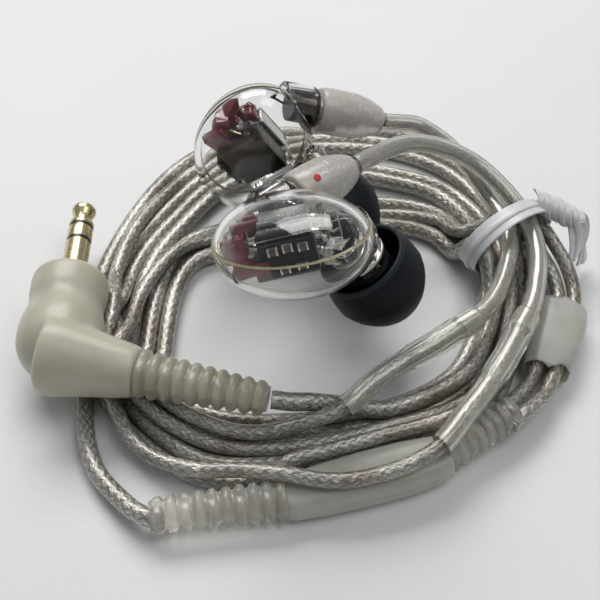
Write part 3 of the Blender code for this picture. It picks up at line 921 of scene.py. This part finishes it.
def plastic(name, colour, dark=None, rough=0.35, scale=700.0, grain=0.1, coat=0.2, gloss=0.5):
    g = Nodes(name, coat_weight=coat, coat_roughness=0.15, specular_ior_level=gloss)
    speck = g.noise(scale, 4.0, 0.6)
    g.set(base_color=g.ramp(speck,
        [(0.3, dark or tuple(c * 0.75 for c in colour)), (0.7, colour)]))
    g.set(roughness=g.plus(g.times(speck, 0.2), rough - 0.08))
    g.bump(speck, grain, 0.0001)
    return g.mat


MATS = {
    "cable": braid(),
    "tube": clear("ear_tube_clear", (0.96, 0.945, 0.88), 1.42, 0.09, 0.03, 300.0, 1.0, 0.86),
    "sleeve": clear("sleeve_clear", (0.985, 0.98, 0.92), 1.36, 0.05, 0.1, 500.0, 0.6, 0.88),
    "shell": case_clear(),
    "smoky": clear("nozzle_smoky", (0.55, 0.50, 0.44), 1.5, 0.03),
    "duct": clear("duct_clear", (0.93, 0.93, 0.91), 1.22, 0.02),
    "seam": plastic("seam_bead", (0.60, 0.53, 0.30), (0.36, 0.31, 0.16), 0.3, 1500.0, 0.3, 0.6),
    "tip": plastic("tip_silicone", (0.0060, 0.0088, 0.0125), (0.004, 0.006, 0.009), 0.5, 2500.0,
        0.05, 0.0, 0.22),
    "lip": plastic("tip_lip", (0.016, 0.021, 0.028), (0.011, 0.015, 0.020), 0.5, 2500.0, 0.05, 0.0,
        0.3),
    "gold": metal("plug_gold", (0.86, 0.72, 0.42), 0.2, 1200.0, 0.03, (1, 8, 1)),
    "steel": metal("steel", (0.72, 0.71, 0.69), 0.18),
    "silver_can": metal("can_silver", (0.50, 0.49, 0.48), 0.3, 1400.0, 0.08),
    "pale_can": metal("can_pale", (0.68, 0.67, 0.65), 0.24, 600.0, 0.03),
    "black_can": metal("can_black", (0.028, 0.025, 0.023), 0.1, 600.0, 0.02),
    "brown_can": metal("can_brown", (0.105, 0.092, 0.080), 0.26, 500.0, 0.05),
    "board": plastic("board_black", (0.014, 0.012, 0.011), (0.008, 0.007, 0.007), 0.45, 700.0, 0.1,
        0.0, 0.2),
    "chip": plastic("chip_brown", (0.13, 0.075, 0.05), (0.08, 0.05, 0.035), 0.4),
    "solder": metal("solder", (0.78, 0.77, 0.74), 0.2),
    "red": plastic("moulding_red", (0.30, 0.008, 0.022), (0.17, 0.004, 0.010), 0.16, 500.0, 0.05,
        0.8),
    "dot": plastic("dot_red", (0.62, 0.02, 0.03), (0.5, 0.015, 0.02), 0.35),
    "milky": milky("plug_milky", (0.54, 0.52, 0.42), (0.47, 0.45, 0.355)),
    "relief": milky("relief_milky", (0.62, 0.595, 0.485), (0.46, 0.43, 0.335), 0.4, 0.3),
    "splitter": milky("splitter_milky", (0.68, 0.67, 0.60), (0.57, 0.56, 0.49), 0.35),
    "slider": milky("slider_milky", (0.66, 0.645, 0.58), (0.54, 0.52, 0.46), 0.3, 0.3, 0.7, 300.0),
    "frost": milky("relief_frosted", (0.95, 0.94, 0.87), (0.78, 0.75, 0.66), 0.74, 0.16, 0.5),
    "boot": milky("boot_milky", (0.88, 0.86, 0.81), (0.78, 0.735, 0.68), 0.5, 0.28, 0.4, 500.0,
        0.0022, 0.02),
    "pink": plastic("core_pink", (0.62, 0.44, 0.38), (0.50, 0.37, 0.32), 0.5),
    "white": plastic("tie_white", (0.70, 0.705, 0.71), (0.64, 0.645, 0.655), 0.35, 900.0, 0.06,
        0.3),
    "black": plastic("insulator_black", (0.015, 0.015, 0.015), None, 0.35),
}


def dress(thing, key):
    thing.data.materials.clear()
    thing.data.materials.append(MATS[key])
    return thing


def finish_piece(thing, body, nodes=()):
    """Rides on a body and stands for the CAD nodes, which it hides."""
    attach(thing, body)
    if nodes:
        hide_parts(*nodes)


def group(name, things, body, slot, nodes=()):
    """One finished piece out of several dressed parts."""
    made = joined(name, things)
    finish_piece(made, body, nodes)
    return made


for cable in (MAIN_CABLE, LEFT_CABLE, RIGHT_CABLE):
    dress(cable, "cable")


# ---------------------------------------------------------------- tubes and sleeves


def hollow(name, path, outer, inner):
    """A pipe along a path: out along its outer wall and back along its bore."""
    _, one, two = transport(path)
    sides = (np.vstack([one, one[::-1]]), np.vstack([two, two[::-1]]))
    radii = np.concatenate([outer, inner[::-1]])
    return sweep(name, np.vstack([path, path[::-1]]), circle(1.0, 28), radii, sides, closed=True)


def ear_tube(side, index):
    """The clear tube from the boot to the sleeve, moulded on the cable."""
    path = CORDS[index]
    along = np.linspace(0, length_of(path), len(path))
    left_over = along[-1] - along
    sleeve = length_of(smooth_path(SLEEVE_LEFT if side == "left" else SLEEVE_RIGHT))
    end = EAR_LENGTHS[index - 1]
    tube_part = path[(left_over < end - sleeve + 3.0) & (left_over > 4.2)]
    ones = np.ones(len(tube_part))
    tube = dress(hollow(f"{side}_tube", tube_part, EAR_TUBE_R * ones, 0.8 * ones), "tube")
    finish_piece(tube, "harness", [f"{side}_over_ear_tube"])
    part = path[(left_over < end + 0.4) & (left_over > end - sleeve - 0.4)]
    share = np.linspace(0, 1, len(part))
    ease = np.clip((share - 0.47) / 0.06, 0, 1)
    radii = 1.5 + (1.78 - 1.5) * ease * ease * (3 - 2 * ease)
    wave = np.array([noise.noise(Vector((s * 9.0, index * 3.1, 0.0))) for s in share])
    radii = radii + 0.05 * wave
    radii[0] -= 0.06
    radii[-1] -= 0.06
    bore = np.where(share > 0.86, EAR_TUBE_R + 0.03, 1.06)
    shrink = dress(hollow(f"{side}_sleeve_clear", part, radii, bore), "sleeve")
    finish_piece(shrink, "harness", [f"{side}_sleeve"])
    return tube, shrink


LEFT_ON_CORD = list(ear_tube("left", 1))
RIGHT_ON_CORD = list(ear_tube("right", 2))


# ---------------------------------------------------------------- plug, splitter, slider


def ribbed(name, start, end, big, small, ribs, depth=0.42, seed=0):
    """A tapered relief whose ribs are broken in turn on two sides."""
    a, b = Vector(start), Vector(end)
    length = (b - a).length
    rows, around = ribs * 12 + 1, 48
    points = []
    for i in range(rows):
        s = i / (rows - 1)
        phase = s * ribs
        rib = int(min(phase, ribs - 1e-6))
        part = phase - rib
        crest = max(0.0, math.sin(math.pi * min(1.0, part / 0.78))) ** 0.5 if part < 0.78 else 0.0
        base = big + (small - big) * s
        for k in range(around):
            angle = 2 * math.pi * k / around
            gate = abs(math.cos(angle + (rib % 2) * math.pi / 2))
            window = min(1.0, max(0.0, (gate - 0.12) / 0.22))
            lumps = noise.noise(Vector((math.cos(angle) * 1.7, math.sin(angle) * 1.7,
                s * ribs * 0.9 + seed)))
            r = base - depth + depth * crest * (0.35 + 0.65 * window) + 0.10 * lumps
            points.append((r * math.cos(angle), r * math.sin(angle), s * length))
    faces = grid_faces(rows, around)
    faces += caps(rows, around)
    return put(name, points, faces, axis_frame(start, b - a), 50.0)


def jack():
    frame_at = axis_frame((JACK_X, JACK_FACE_Y, JACK_Z), (0, 1, 0))
    r = JACK_R
    tip = [(0.0, 14.0), (0.75, 13.97), (1.3, 13.78), (1.66, 13.42), (r, 13.05), (1.64, 12.6),
        (1.38, 12.0),
           (1.22, 11.4), (1.22, 11.05), (1.46, 10.8), (1.7, 10.6), (r, 10.4), (r, 9.95), (r - 0.06,
               9.88), (0, 9.88)]
    ring_part = rounded([(0, 9.32), (r, 9.32), (r, 7.18), (0, 7.18)], 0.06)
    body = rounded([(0, 6.62), (r, 6.62), (r, 0.5), (1.95, 0.45), (1.95, 0.02), (1.7, -0.05),
                    (1.7, -3.0), (0, -3.0)], 0.06)
    gold = [dress(lathe("part", shape, frame_at), "gold") for shape in (tip, ring_part, body)]
    contacts = group(
        "jack_contacts", gold, "harness", "brass", ["plug_tip_contact", "plug_ring_contact",
            "plug_sleeve_contact"],
    )
    bands = []
    for low, high in ((9.3, 9.9), (6.6, 7.2)):
        shape = rounded([(0, high), (r - 0.04, high), (r - 0.04, low), (0, low)], 0.04)
        bands.append(dress(lathe("band", shape, frame_at), "black"))
    nodes = ["plug_front_insulator", "plug_rear_insulator"]
    rings = group("jack_insulators", bands, "harness", "insulator", nodes)
    return contacts, rings


def overmould():
    """The collar and the round elbow, one soft moulding."""
    frame_at = axis_frame((JACK_X, JACK_FACE_Y, JACK_Z), (0, 1, 0))
    collar = rounded(
        [(0, -0.05), (4.7, -0.05), (5.3, -0.6), (5.25, -3.8), (4.95, -5.2), (5.2, -6.8),
            (5.7, -8.8),
         (5.8, -10.8), (0, -10.8)], 0.4, 5,
    )
    body = lathe("plug_overmould", collar, frame_at, 64)
    ball = ellipsoid("ball", (BALL_R, BALL_R, BALL_R), Matrix.Translation(Vector(BALL_CENTRE)), 64,
        32)
    start, way = Vector(RELIEF_START), Vector(RELIEF_END) - Vector(RELIEF_START)
    neck_at = axis_frame(start, way)
    neck = lathe(
        "neck", [(0, -7.2), (5.3, -7.2), (5.2, -5.0), (4.7, -2.6), (4.15, 0.2), (3.65, 3.2),
            (3.3, 5.2), (0, 5.2)],
        neck_at, 64,
    )
    mesh = bmesh.new()
    for thing in (body, ball, neck):
        mesh.from_mesh(thing.data)
    mesh.to_mesh(body.data)
    mesh.free()
    for thing in (ball, neck):
        bpy.data.objects.remove(thing, do_unlink=True)
    skin = body.modifiers.new("skin", "REMESH")
    skin.mode = "VOXEL"
    skin.voxel_size = 0.28 * MM
    ease = body.modifiers.new("ease", "SMOOTH")
    ease.factor = 0.5
    ease.iterations = 34
    baked(body, 180.0)
    dress(body, "milky")
    finish_piece(body, "harness", ["plug_collar", "plug_elbow"])
    return body


def box_loft(name, centre, degrees, stations, power=3.2, around=48, steps=14):
    """A smooth pillow: superellipse sections along X between the stations."""
    turn = Matrix.Translation(Vector(centre)) @ Matrix.Rotation(math.radians(degrees), 4, "Z")
    x, w, h, up = (np.array(c, float) for c in zip(*stations))
    at = np.linspace(0, 1, steps * (len(stations) - 1) + 1)
    knots = np.linspace(0, 1, len(stations))
    curves = [np.interp(at, knots, c) for c in (x, w, h, up)]
    for i in (1, 2, 3):
        c = curves[i]
        for _ in range(3):
            c[1:-1] = (c[:-2] + 2 * c[1:-1] + c[2:]) / 4
    points = []
    for xi, wi, hi, ui in zip(*curves):
        for k in range(around):
            a = 2 * math.pi * k / around
            c, s = math.cos(a), math.sin(a)
            points.append(
                (
                    xi,
                    wi * math.copysign(abs(c) ** (2 / power), c),
                    hi * math.copysign(abs(s) ** (2 / power), s) + ui,
                )
            )
    rows = len(curves[0])
    faces = grid_faces(rows, around)
    faces += caps(rows, around)
    return put(name, points, faces, turn, 45.0)


def splitter():
    body = box_loft(
        "splitter_moulding", SPLITTER[0], SPLITTER[1],
        [(-10.9, 2.35, 2.1, 0.2), (-9.6, 2.7, 2.2, 0.05), (-5.5, 3.15, 2.28, 0.0),
            (0.0, 3.4, 2.3, 0.0),
         (5.0, 3.4, 2.3, 0.0), (8.9, 3.0, 2.25, 0.1), (10.6, 2.5, 2.15, 0.35)],
        2.9,
    )
    dress(body, "splitter")
    finish_piece(body, "harness", ["splitter_body"])
    made = [body]
    for end, (a, b), small, ribs, seed in (
        ("main", MAIN_RELIEF, 2.3, 10, 3), ("branch", BRANCH_RELIEF, 2.4, 8, 7),
    ):
        relief = ribbed(f"splitter_relief_{end}", a, b, 2.65, small, ribs, 0.5, seed)
        finish_piece(dress(relief, "frost"), "harness", [f"splitter_{end}_relief"])
        made.append(relief)
    return made


def slider():
    centre, degrees, _ = SLIDER
    body = box_loft(
        "slider_moulding", centre, degrees + 90.0,
        [(-6.5, 2.7, 1.7, 0.0), (-6.1, 3.1, 2.05, 0.0), (-2.0, 3.7, 2.4, 0.0),
            (3.0, 3.8, 2.4, 0.0),
         (5.2, 3.5, 2.25, 0.0), (6.2, 2.9, 1.85, 0.0), (6.4, 2.5, 1.6, 0.0)],
        2.7,
    )
    for line in (SLIDE_LEFT, SLIDE_RIGHT):
        a, b = Vector(line[3]), Vector(line[4])
        wide, flare = BRANCH_R + 0.5, BRANCH_R + 1.7
        middle = (a + b) / 2
        shape = [(0, 14.0), (flare, 14.0), (wide, 3.0), (wide, -3.0), (flare, -14.0), (0, -14.0)]
        carve(body, lathe("slot", shape, axis_frame(middle, b - a), 32))
    dress(body, "slider")
    finish_piece(body, "slider", ["cord_slider"])
    return body


CONTACTS, INSULATORS = jack()
OVERMOULD = overmould()
PLUG_RELIEF = dress(ribbed("plug_relief_ribbed", RELIEF_START, RELIEF_END, 3.5, 2.2, 13, 0.5, 11),
    "relief")
finish_piece(PLUG_RELIEF, "harness", ["plug_relief"])
SPLIT_BODY, SPLIT_MAIN, SPLIT_BRANCH = splitter()
SLIDER_BODY = slider()


# ---------------------------------------------------------------- twist tie


def strip(name, path, normal_hint, width=3.0, thick=0.34, rib=0.32, closed=False):
    """A flat plastic strip with a wire rib down its middle."""
    profile = [
        (-width / 2, -thick / 2), (-0.42, -thick / 2), (-0.3, -thick / 2 - rib * 0.3),
            (0.3, -thick / 2 - rib * 0.3),
        (0.42, -thick / 2), (width / 2, -thick / 2), (width / 2 + 0.12, 0.0),
            (width / 2, thick / 2),
        (0.5, thick / 2), (0.34, thick / 2 + rib * 0.75), (0.0, thick / 2 + rib),
            (-0.34, thick / 2 + rib * 0.75),
        (-0.5, thick / 2), (-width / 2, thick / 2), (-width / 2 - 0.12, 0.0),
    ]
    path = np.asarray(path, float)
    tangent, _, _ = transport(path)
    hint = np.asarray(normal_hint, float)
    up = hint - tangent * (hint * tangent).sum(1)[:, None]
    up /= np.linalg.norm(up, axis=1)[:, None]
    side = np.cross(up, tangent)
    return sweep(name, path, profile, None, (side, up), 38.0, closed)


def twist_tie():
    axis = Vector(TIE_AXIS).normalized()
    sideways = Vector((0, 0, 1)).cross(axis)
    centre = Vector(TIE_CENTRE)
    path, hints = [], []
    turns = np.linspace(0, 2 * math.pi, 73)[:-1]
    for a in turns:
        out = sideways * math.cos(a) * TIE_HALF[0] + Vector((0, 0, 1)) * math.sin(a) * TIE_HALF[1]
        lean = axis * (0.9 * math.sin(a + 0.6))
        path.append(tuple(centre + out + lean))
        normal = sideways * math.cos(a) / TIE_HALF[0] + Vector((0, 0,
            1)) * math.sin(a) / TIE_HALF[1]
        hints.append(tuple(normal))
    band = dress(strip("tie_loop", path, hints, closed=True), "white")
    finish_piece(band, "harness", ["tie_band"])
    start = centre + sideways * 5.2 + Vector((0, 0, 4.2))
    way = Vector((35.4, 14.2, 8.4)) - start
    along = way.normalized()
    one = along.cross(Vector((0, 0, 1))).normalized()
    two = along.cross(one)
    things = []
    for phase, sag in ((0.0, Vector((0.2, -2.2, -6.2))), (math.pi, Vector((-1.2, -2.0, -4.6)))):
        knot, hints = [], []
        for i in range(56):
            s = i / 55
            a = phase + s * 2 * math.pi * 1.45
            swell = 1.0 + 0.35 * math.sin(math.pi * s)
            spot = start + way * s + (one * math.cos(a) + two * math.sin(a)) * swell
            knot.append(spot)
            hints.append(one * math.cos(a) + two * math.sin(a))
        last = knot[-1]
        for i in range(1, 17):
            s = i / 16
            drop = last + along * (1.3 * math.sin(s * 1.6)) + sag * (s**1.5)
            knot.append(drop)
            hints.append(hints[55] * (1 - s) + (along + one * 0.4) * s)
        points, normals = [tuple(p) for p in knot], [tuple(h) for h in hints]
        things.append(dress(strip("tail", points, normals, 2.5, 0.36, 0.3), "white"))
    return band, group("tie_twist", things, "harness", "tie", ["tie_twisted_ends"])


TIE, TIE_ENDS = twist_tie()


# ---------------------------------------------------------------- monitors


def shells(side):
    base, hand = monitor_frame(side)
    body = f"{side}_monitor"
    plug, nozzle = plug_frame(side), nozzle_frame(side)
    hollow_size = tuple(a - WALL for a in SHELL)
    case = ellipsoid(f"{side}_case_clear", SHELL, base, 112, 56)
    housing = rounded([(0, 1.5), (HOUSING_R, 1.5), (HOUSING_R, 6.1), (0, 6.1)], 0.3)
    carve(case, lathe("housing", housing, plug, 64), "UNION")
    boss = rounded([(0, -1.6), (3.5, -1.6), (4.0, -3.2), (4.2, -6.0), (0, -6.0)], 0.4)
    carve(case, lathe("boss", boss, nozzle, 64), "UNION")
    carve(case, ellipsoid("hollow", hollow_size, base, 112, 56))
    bore = [(0, 14), (3.6, 14), (3.6, 6.12), (2.4, 6.12), (2.4, 0.5), (0, 0.5)]
    carve(case, lathe("bore", bore, plug, 64))
    way = [(0, 0), (2.4, 0), (2.4, -8), (0, -8)]
    carve(case, lathe("way", way, nozzle, 64))
    soften(case.data, 32.0)
    dress(case, "shell")
    finish_piece(case, body, [f"{side}_outer_shell", f"{side}_inner_shell"])
    rim = math.sqrt(1 - (SEAM / SHELL[2]) ** 2)
    bead = []
    for i in range(160):
        a = 2 * math.pi * i / 160
        wobble = 0.03 * noise.noise(Vector((math.cos(a) * 6, math.sin(a) * 6, hand)))
        size = rim + wobble * 0.05
        point = Vector((SHELL[0] * size * math.cos(a), SHELL[1] * size * math.sin(a),
            SEAM * hand + wobble))
        bead.append(point)
    near_plug = [(plug.inverted() @ (base @ p)) for p in bead]
    keep = [math.hypot(q.x, q.y) > HOUSING_R + 0.2 or q.z < 0 for q in near_plug]
    first = next(i for i in range(160) if keep[i] and not keep[i - 1])
    order = [(first + k) % 160 for k in range(160)]
    run = [base @ bead[i] for i in order if keep[i]]
    inward = [(base.translation - p).normalized() for p in run]
    line = [p + n * 0.32 for p, n in zip(run, inward)]
    profile = [(-0.07, -0.30), (0.07, -0.30), (0.10, 0.31), (0.0, 0.36), (-0.10, 0.31)]
    tangent = np.gradient(np.array(line), axis=0)
    tangent /= np.linalg.norm(tangent, axis=1)[:, None]
    out = -np.array([tuple(n) for n in inward])
    out -= tangent * (out * tangent).sum(1)[:, None]
    out /= np.linalg.norm(out, axis=1)[:, None]
    seam = sweep(f"{side}_seam", line, profile, None, (np.cross(out, tangent), out))
    dress(seam, "seam")
    finish_piece(seam, body, [f"{side}_seam_gasket"])


def inside(side):
    """What shows through the shell."""
    base, hand = monitor_frame(side)
    body = f"{side}_monitor"
    spin = Matrix.Rotation(math.atan2(LAY_E1[1], LAY_E1[0]), 4, "Z")

    def at(e1, e2, height, tilt=0.0):
        x = LAY_E1[0] * e1 + LAY_E2[0] * e2
        y = LAY_E1[1] * e1 + LAY_E2[1] * e2
        turn = Matrix.Rotation(math.radians(tilt), 4, "Z") if tilt else Matrix()
        return base @ Matrix.Translation((x, y, height * hand)) @ spin @ turn

    def can(name, size, place, key, edge, slot, node):
        shell = dress(block("can", size, place, 0.22, 3), key)
        lid = Matrix.Translation((0, 0, hand * (size[2] / 2 - 0.42)))
        rim = dress(block("rim", (size[0] + 0.12, size[1] + 0.12, 0.16), place @ lid, 0.05, 2),
            edge)
        port_at = place @ Matrix.Translation((size[0] / 2, 0, 0)) @ Matrix.Rotation(math.pi / 2, 4,
            "Y")
        port = dress(lathe("port", rounded([(0, 0.9), (0.7, 0.9), (0.7, -0.2), (0, -0.2)], 0.1),
            port_at, 32), edge)
        pads = []
        for k in (-1, 1):
            spot = place @ Matrix.Translation((-size[0] / 2, k * size[1] * 0.22,
                0)) @ Matrix.Rotation(math.pi / 2, 4, "Y")
            pads.append(dress(lathe("pad",
                [(0, 0.12), (0.3, 0.1), (0.42, 0.0), (0.45, -0.25), (0, -0.25)], spot, 20),
                "solder"))
        group(name, [shell, rim, port, *pads], body, slot, [node])

    def blocks(key, rows):
        return [dress(block(key, size, at(*place), bevel), key) for size, place, bevel in rows]

    for kind, size, place, edge, slot, driver in (
        ("pale", (6.4, 4.0, 2.9), (-0.3, 1.8, 2.0), "silver_can", "can_light", "mid"),
        ("black", (6.6, 2.9, 2.6), (-0.3, -2.2, 1.7), "steel", "can", "high"),
        ("brown", (7.6, 6.6, 2.9), (-0.9, 0.1, -1.5), "silver_can", "can", "low"),
    ):
        name, node = f"{side}_{kind}_can", f"{side}_{driver}_driver"
        can(name, size, at(*place), f"{kind}_can", edge, slot, node)
    board = [dress(block("board", (5.8, 0.5, 4.2), at(0.3, -4.4, 0.2), 0.05, 1), "board")]
    for i, (e1, height) in enumerate(((-1.7, 1.6), (0.1, 1.7), (1.9, 1.5), (-0.8, -0.9),
        (1.3, -0.8))):
        spot = at(e1, -4.9, height)
        board.append(dress(block("chip", (0.8, 0.72, 0.9), spot, 0.06, 2), "chip"))
        for k in (-1, 1):
            cap = spot @ Matrix.Translation((k * 0.5, 0, 0))
            board.append(dress(block("cap", (0.24, 0.78, 0.95), cap, 0.06, 2), "solder"))
    group(f"{side}_board", board, body, "board", [f"{side}_crossover_board"])
    duct = [dress(block("duct", (1.3, 7.0, 5.6), at(4.2, 0.2, 0.4), 0.3, 4), "duct"),
            dress(block("duct_step", (1.4, 3.4, 3.2), at(5.6, 0.6, 0.6), 0.3, 4), "duct")]
    group(f"{side}_duct", duct, body, "clear_part", [f"{side}_acoustic_manifold"])
    red = blocks("red", [
        ((1.0, 3.4, 2.6), (-5.6, -0.8, 1.6), 0.15),
        ((1.6, 1.8, 3.6), (-6.2, -1.6, 0.4, 14), 0.15),
        ((1.7, 2.0, 3.0), (-7.0, -0.6, 0.9, -20), 0.25),
        ((3.6, 1.0, 1.1), (-5.0, 0.9, 3.0, 8), 0.2),
        ((1.6, 1.2, 2.6), (-4.5, 2.6, 2.4, 12), 0.2),
    ])
    prism_at = at(-7.5, 0.9, 1.4) @ Matrix.Rotation(0.5, 4, "X")
    prism = lathe("prism", [(0, 1.6), (1.9, -1.2), (0, -1.2)], prism_at, 3, smooth=20.0)
    red.append(dress(prism, "red"))
    red += blocks("red", [((4.6, 2.6, 1.6), (-4.8, -2.4, -0.9, 6), 0.3)])
    group(f"{side}_red_moulding", red, body, "red_plastic", [f"{side}_acoustic_filter"])
    wires = []
    for i, (start, lift, end) in enumerate((
        ((-3.6, 1.2, 2.4), (-5.0, 2.6, 3.4), (-6.0, 0.6, 2.8)),
            ((-3.6, 2.4, 2.2), (-5.4, 3.2, 2.6), (-5.4, -1.6, 3.0)),
        ((-3.7, -2.0, 1.6), (-4.8, -3.6, 2.4), (-2.4, -4.6, 2.2)),
            ((-4.8, 0.8, -1.2), (-6.0, -0.6, -0.4), (-5.6, -2.4, 1.0)),
    )):
        knots = [(at(*p)).translation for p in (start, lift, end)]
        line = smooth_path([tuple(k) for k in knots], 0.3)
        wires.append(dress(sweep("wire", line, circle(0.12, 8)),
            ("gold", "red", "black", "gold")[i]))
    group(f"{side}_wires", wires, body, "brass")


def nozzle_end(side):
    nozzle = nozzle_frame(side)
    collar = rounded([(2.45, -0.3), (3.45, -0.3), (3.62, -0.6), (3.5, -1.0), (2.45, -1.0),
        (2.45, -0.3)], 0.08)
    ring = dress(lathe(f"{side}_bright_ring", collar, nozzle, 96), "steel")
    finish_piece(ring, f"{side}_monitor", [f"{side}_nozzle_collar"])
    pipe = [(2.2, 4.6), (2.55, 4.3), (2.55, 3.7), (2.2, 3.4), (2.2, -5.4), (1.5, -5.4), (1.5, 4.6)]
    tube = dress(lathe(f"{side}_nozzle_pipe", rounded(pipe + [pipe[0]], 0.1), nozzle, 64), "smoky")
    finish_piece(tube, f"{side}_monitor", [f"{side}_nozzle"])
    tip = [
        (2.0, 9.6), (2.25, 9.95), (2.7, 10.02), (3.2, 9.8), (3.9, 9.2), (4.6, 8.45), (5.25, 7.5),
            (5.8, 6.5),
        (6.2, 5.5), (6.38, 4.62), (6.40, 4.5), (6.46, 4.44), (6.40, 4.38), (6.42, 4.2),
            (6.43, 3.4), (6.36, 2.4),
        (6.2, 1.4), (6.0, 0.5), (5.85, 0.06), (5.74, -0.08), (5.55, -0.1), (5.35, 0.05),
            (5.28, 0.3), (5.5, 1.4),
        (5.75, 3.2), (5.7, 4.6), (5.3, 5.9), (4.5, 7.1), (3.7, 7.4), (3.3, 7.0), (3.25, 1.3),
            (3.0, 0.9),
        (2.65, 0.9), (2.65, 5.6), (2.0, 5.9), (2.0, 9.6),
    ]
    rubber = lathe(f"{side}_silicone_tip", tip, nozzle, 96)
    dress(rubber, "tip")
    rubber.data.materials.append(MATS["lip"])
    back = nozzle.inverted()
    for face in rubber.data.polygons:
        spot = back @ ((face.center / MM) - SHIFT)
        if spot.z < 0.5 and math.hypot(spot.x, spot.y) > 5.2:
            face.material_index = 1
    finish_piece(rubber, f"{side}_tip", [f"{side}_eartip"])


def boot(side):
    plug = plug_frame(side)
    shape = [(0.0, 7.05), (2.95, 7.05), (3.12, 7.3), (3.25, 7.9), (3.32, 9.0), (3.3, 12.0),
        (3.24, 12.1), (3.24, 12.25),
             (3.28, 12.4), (3.1, 13.6), (2.75, 14.9), (2.3, 16.0), (1.95, 16.7), (1.7, 17.0), (0.0,
                 17.0)]
    moulding = lathe(f"{side}_boot", rounded(shape, 0.2), plug, 72)
    dress(moulding, "boot")
    finish_piece(moulding, "harness", [f"{side}_connector_boot"])
    core = [
        dress(lathe("core",
            rounded([(0, 10.0), (1.9, 10.0), (2.1, 8.2), (2.1, 7.3), (0, 7.3)], 0.2), plug, 40),
            "pink"),
        dress(lathe("crimp",
            rounded([(0, 13.4), (1.1, 13.4), (1.3, 12.6), (1.3, 10.2), (0, 10.2)], 0.2), plug, 40),
            "silver_can"),
    ]
    return moulding, group(f"{side}_boot_core", core, "harness", "brass")


for which in SIDES:
    shells(which)
    inside(which)
    nozzle_end(which)
LEFT_ON_CORD += list(boot("left"))
RIGHT_ON_CORD += list(boot("right"))


def channel_dot():
    plug = plug_frame("right")
    up = plug.inverted().to_3x3() @ Vector((0.0, -0.5, 0.866))
    up = Vector((up.x, up.y, 0.0)).normalized()
    at = plug @ Matrix.Translation(up * 3.22 + Vector((0, 0, 9.6)))
    turn = up.to_track_quat("Z", "Y").to_matrix().to_4x4()
    shape = rounded([(0, 0.2), (0.42, 0.2), (0.52, 0.12), (0.52, -0.2), (0, -0.2)], 0.08)
    dot = dress(lathe("channel_dot", shape, at @ turn, 40), "dot")
    finish_piece(dot, "harness", ["right_channel_dot"])
    return dot


RIGHT_ON_CORD.append(channel_dot())


# CAD nodes that stay as they are get a material of their own.
KEPT = {"connector_socket": "brown_can", "connector_plug": "silver_can", "snap_ring": "steel",
    "damper": "steel"}
for node_name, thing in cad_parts.items():
    for ending, key in KEPT.items():
        if node_name.endswith(ending):
            dress(thing, key)


# ---------------------------------------------------------------- cords put on the harness


def declare():
    for thing, nodes in (
        (MAIN_CABLE, ["cable_coil", "plug_end_cable", "splitter_end_cable"]),
        (LEFT_CABLE, ["left_slider_cable", "left_branch_cable"]),
        (RIGHT_CABLE, ["right_slider_cable", "right_branch_cable"]),
    ):
        finish_piece(thing, "harness", nodes)


declare()


# ---------------------------------------------------------------- stage


def stage():
    points = [(-900, -900, 0), (900, -900, 0), (900, 900, 0), (-900, 900, 0)]
    floor = put("floor", points, [(0, 1, 2, 3)], Matrix.Translation((0, 0, -0.02)), 0)
    g = Nodes("floor_white", base_color=grey(0.8), roughness=0.55)
    g.set(base_color=g.ramp(g.noise(14.0, 3.0), [(0.3, grey(0.78)), (0.7, grey(0.82))]))
    g.bump(g.noise(900.0, 3.0), 0.12, 0.0003)
    floor.data.materials.append(g.mat)
    world = bpy.data.worlds.new("soft_white")
    SCENE.world = world
    world.use_nodes = True
    world.node_tree.nodes["Background"].inputs["Color"].default_value = (0.93, 0.96, 1.0, 1.0)
    world.node_tree.nodes["Background"].inputs["Strength"].default_value = 0.27
    lamp("window", (-0.12, 0.42, 0.50), (-0.01, 0.0, 0.0), (0.50, 0.30), 3.05, (1.0, 0.99, 0.97))
    lamp("ceiling", (0.25, -0.05, 0.62), (0.0, 0.0, 0.0), (0.35, 0.35), 0.95)
    SCENE.view_settings.view_transform = "Standard"
    SCENE.view_settings.look = "None"


stage()
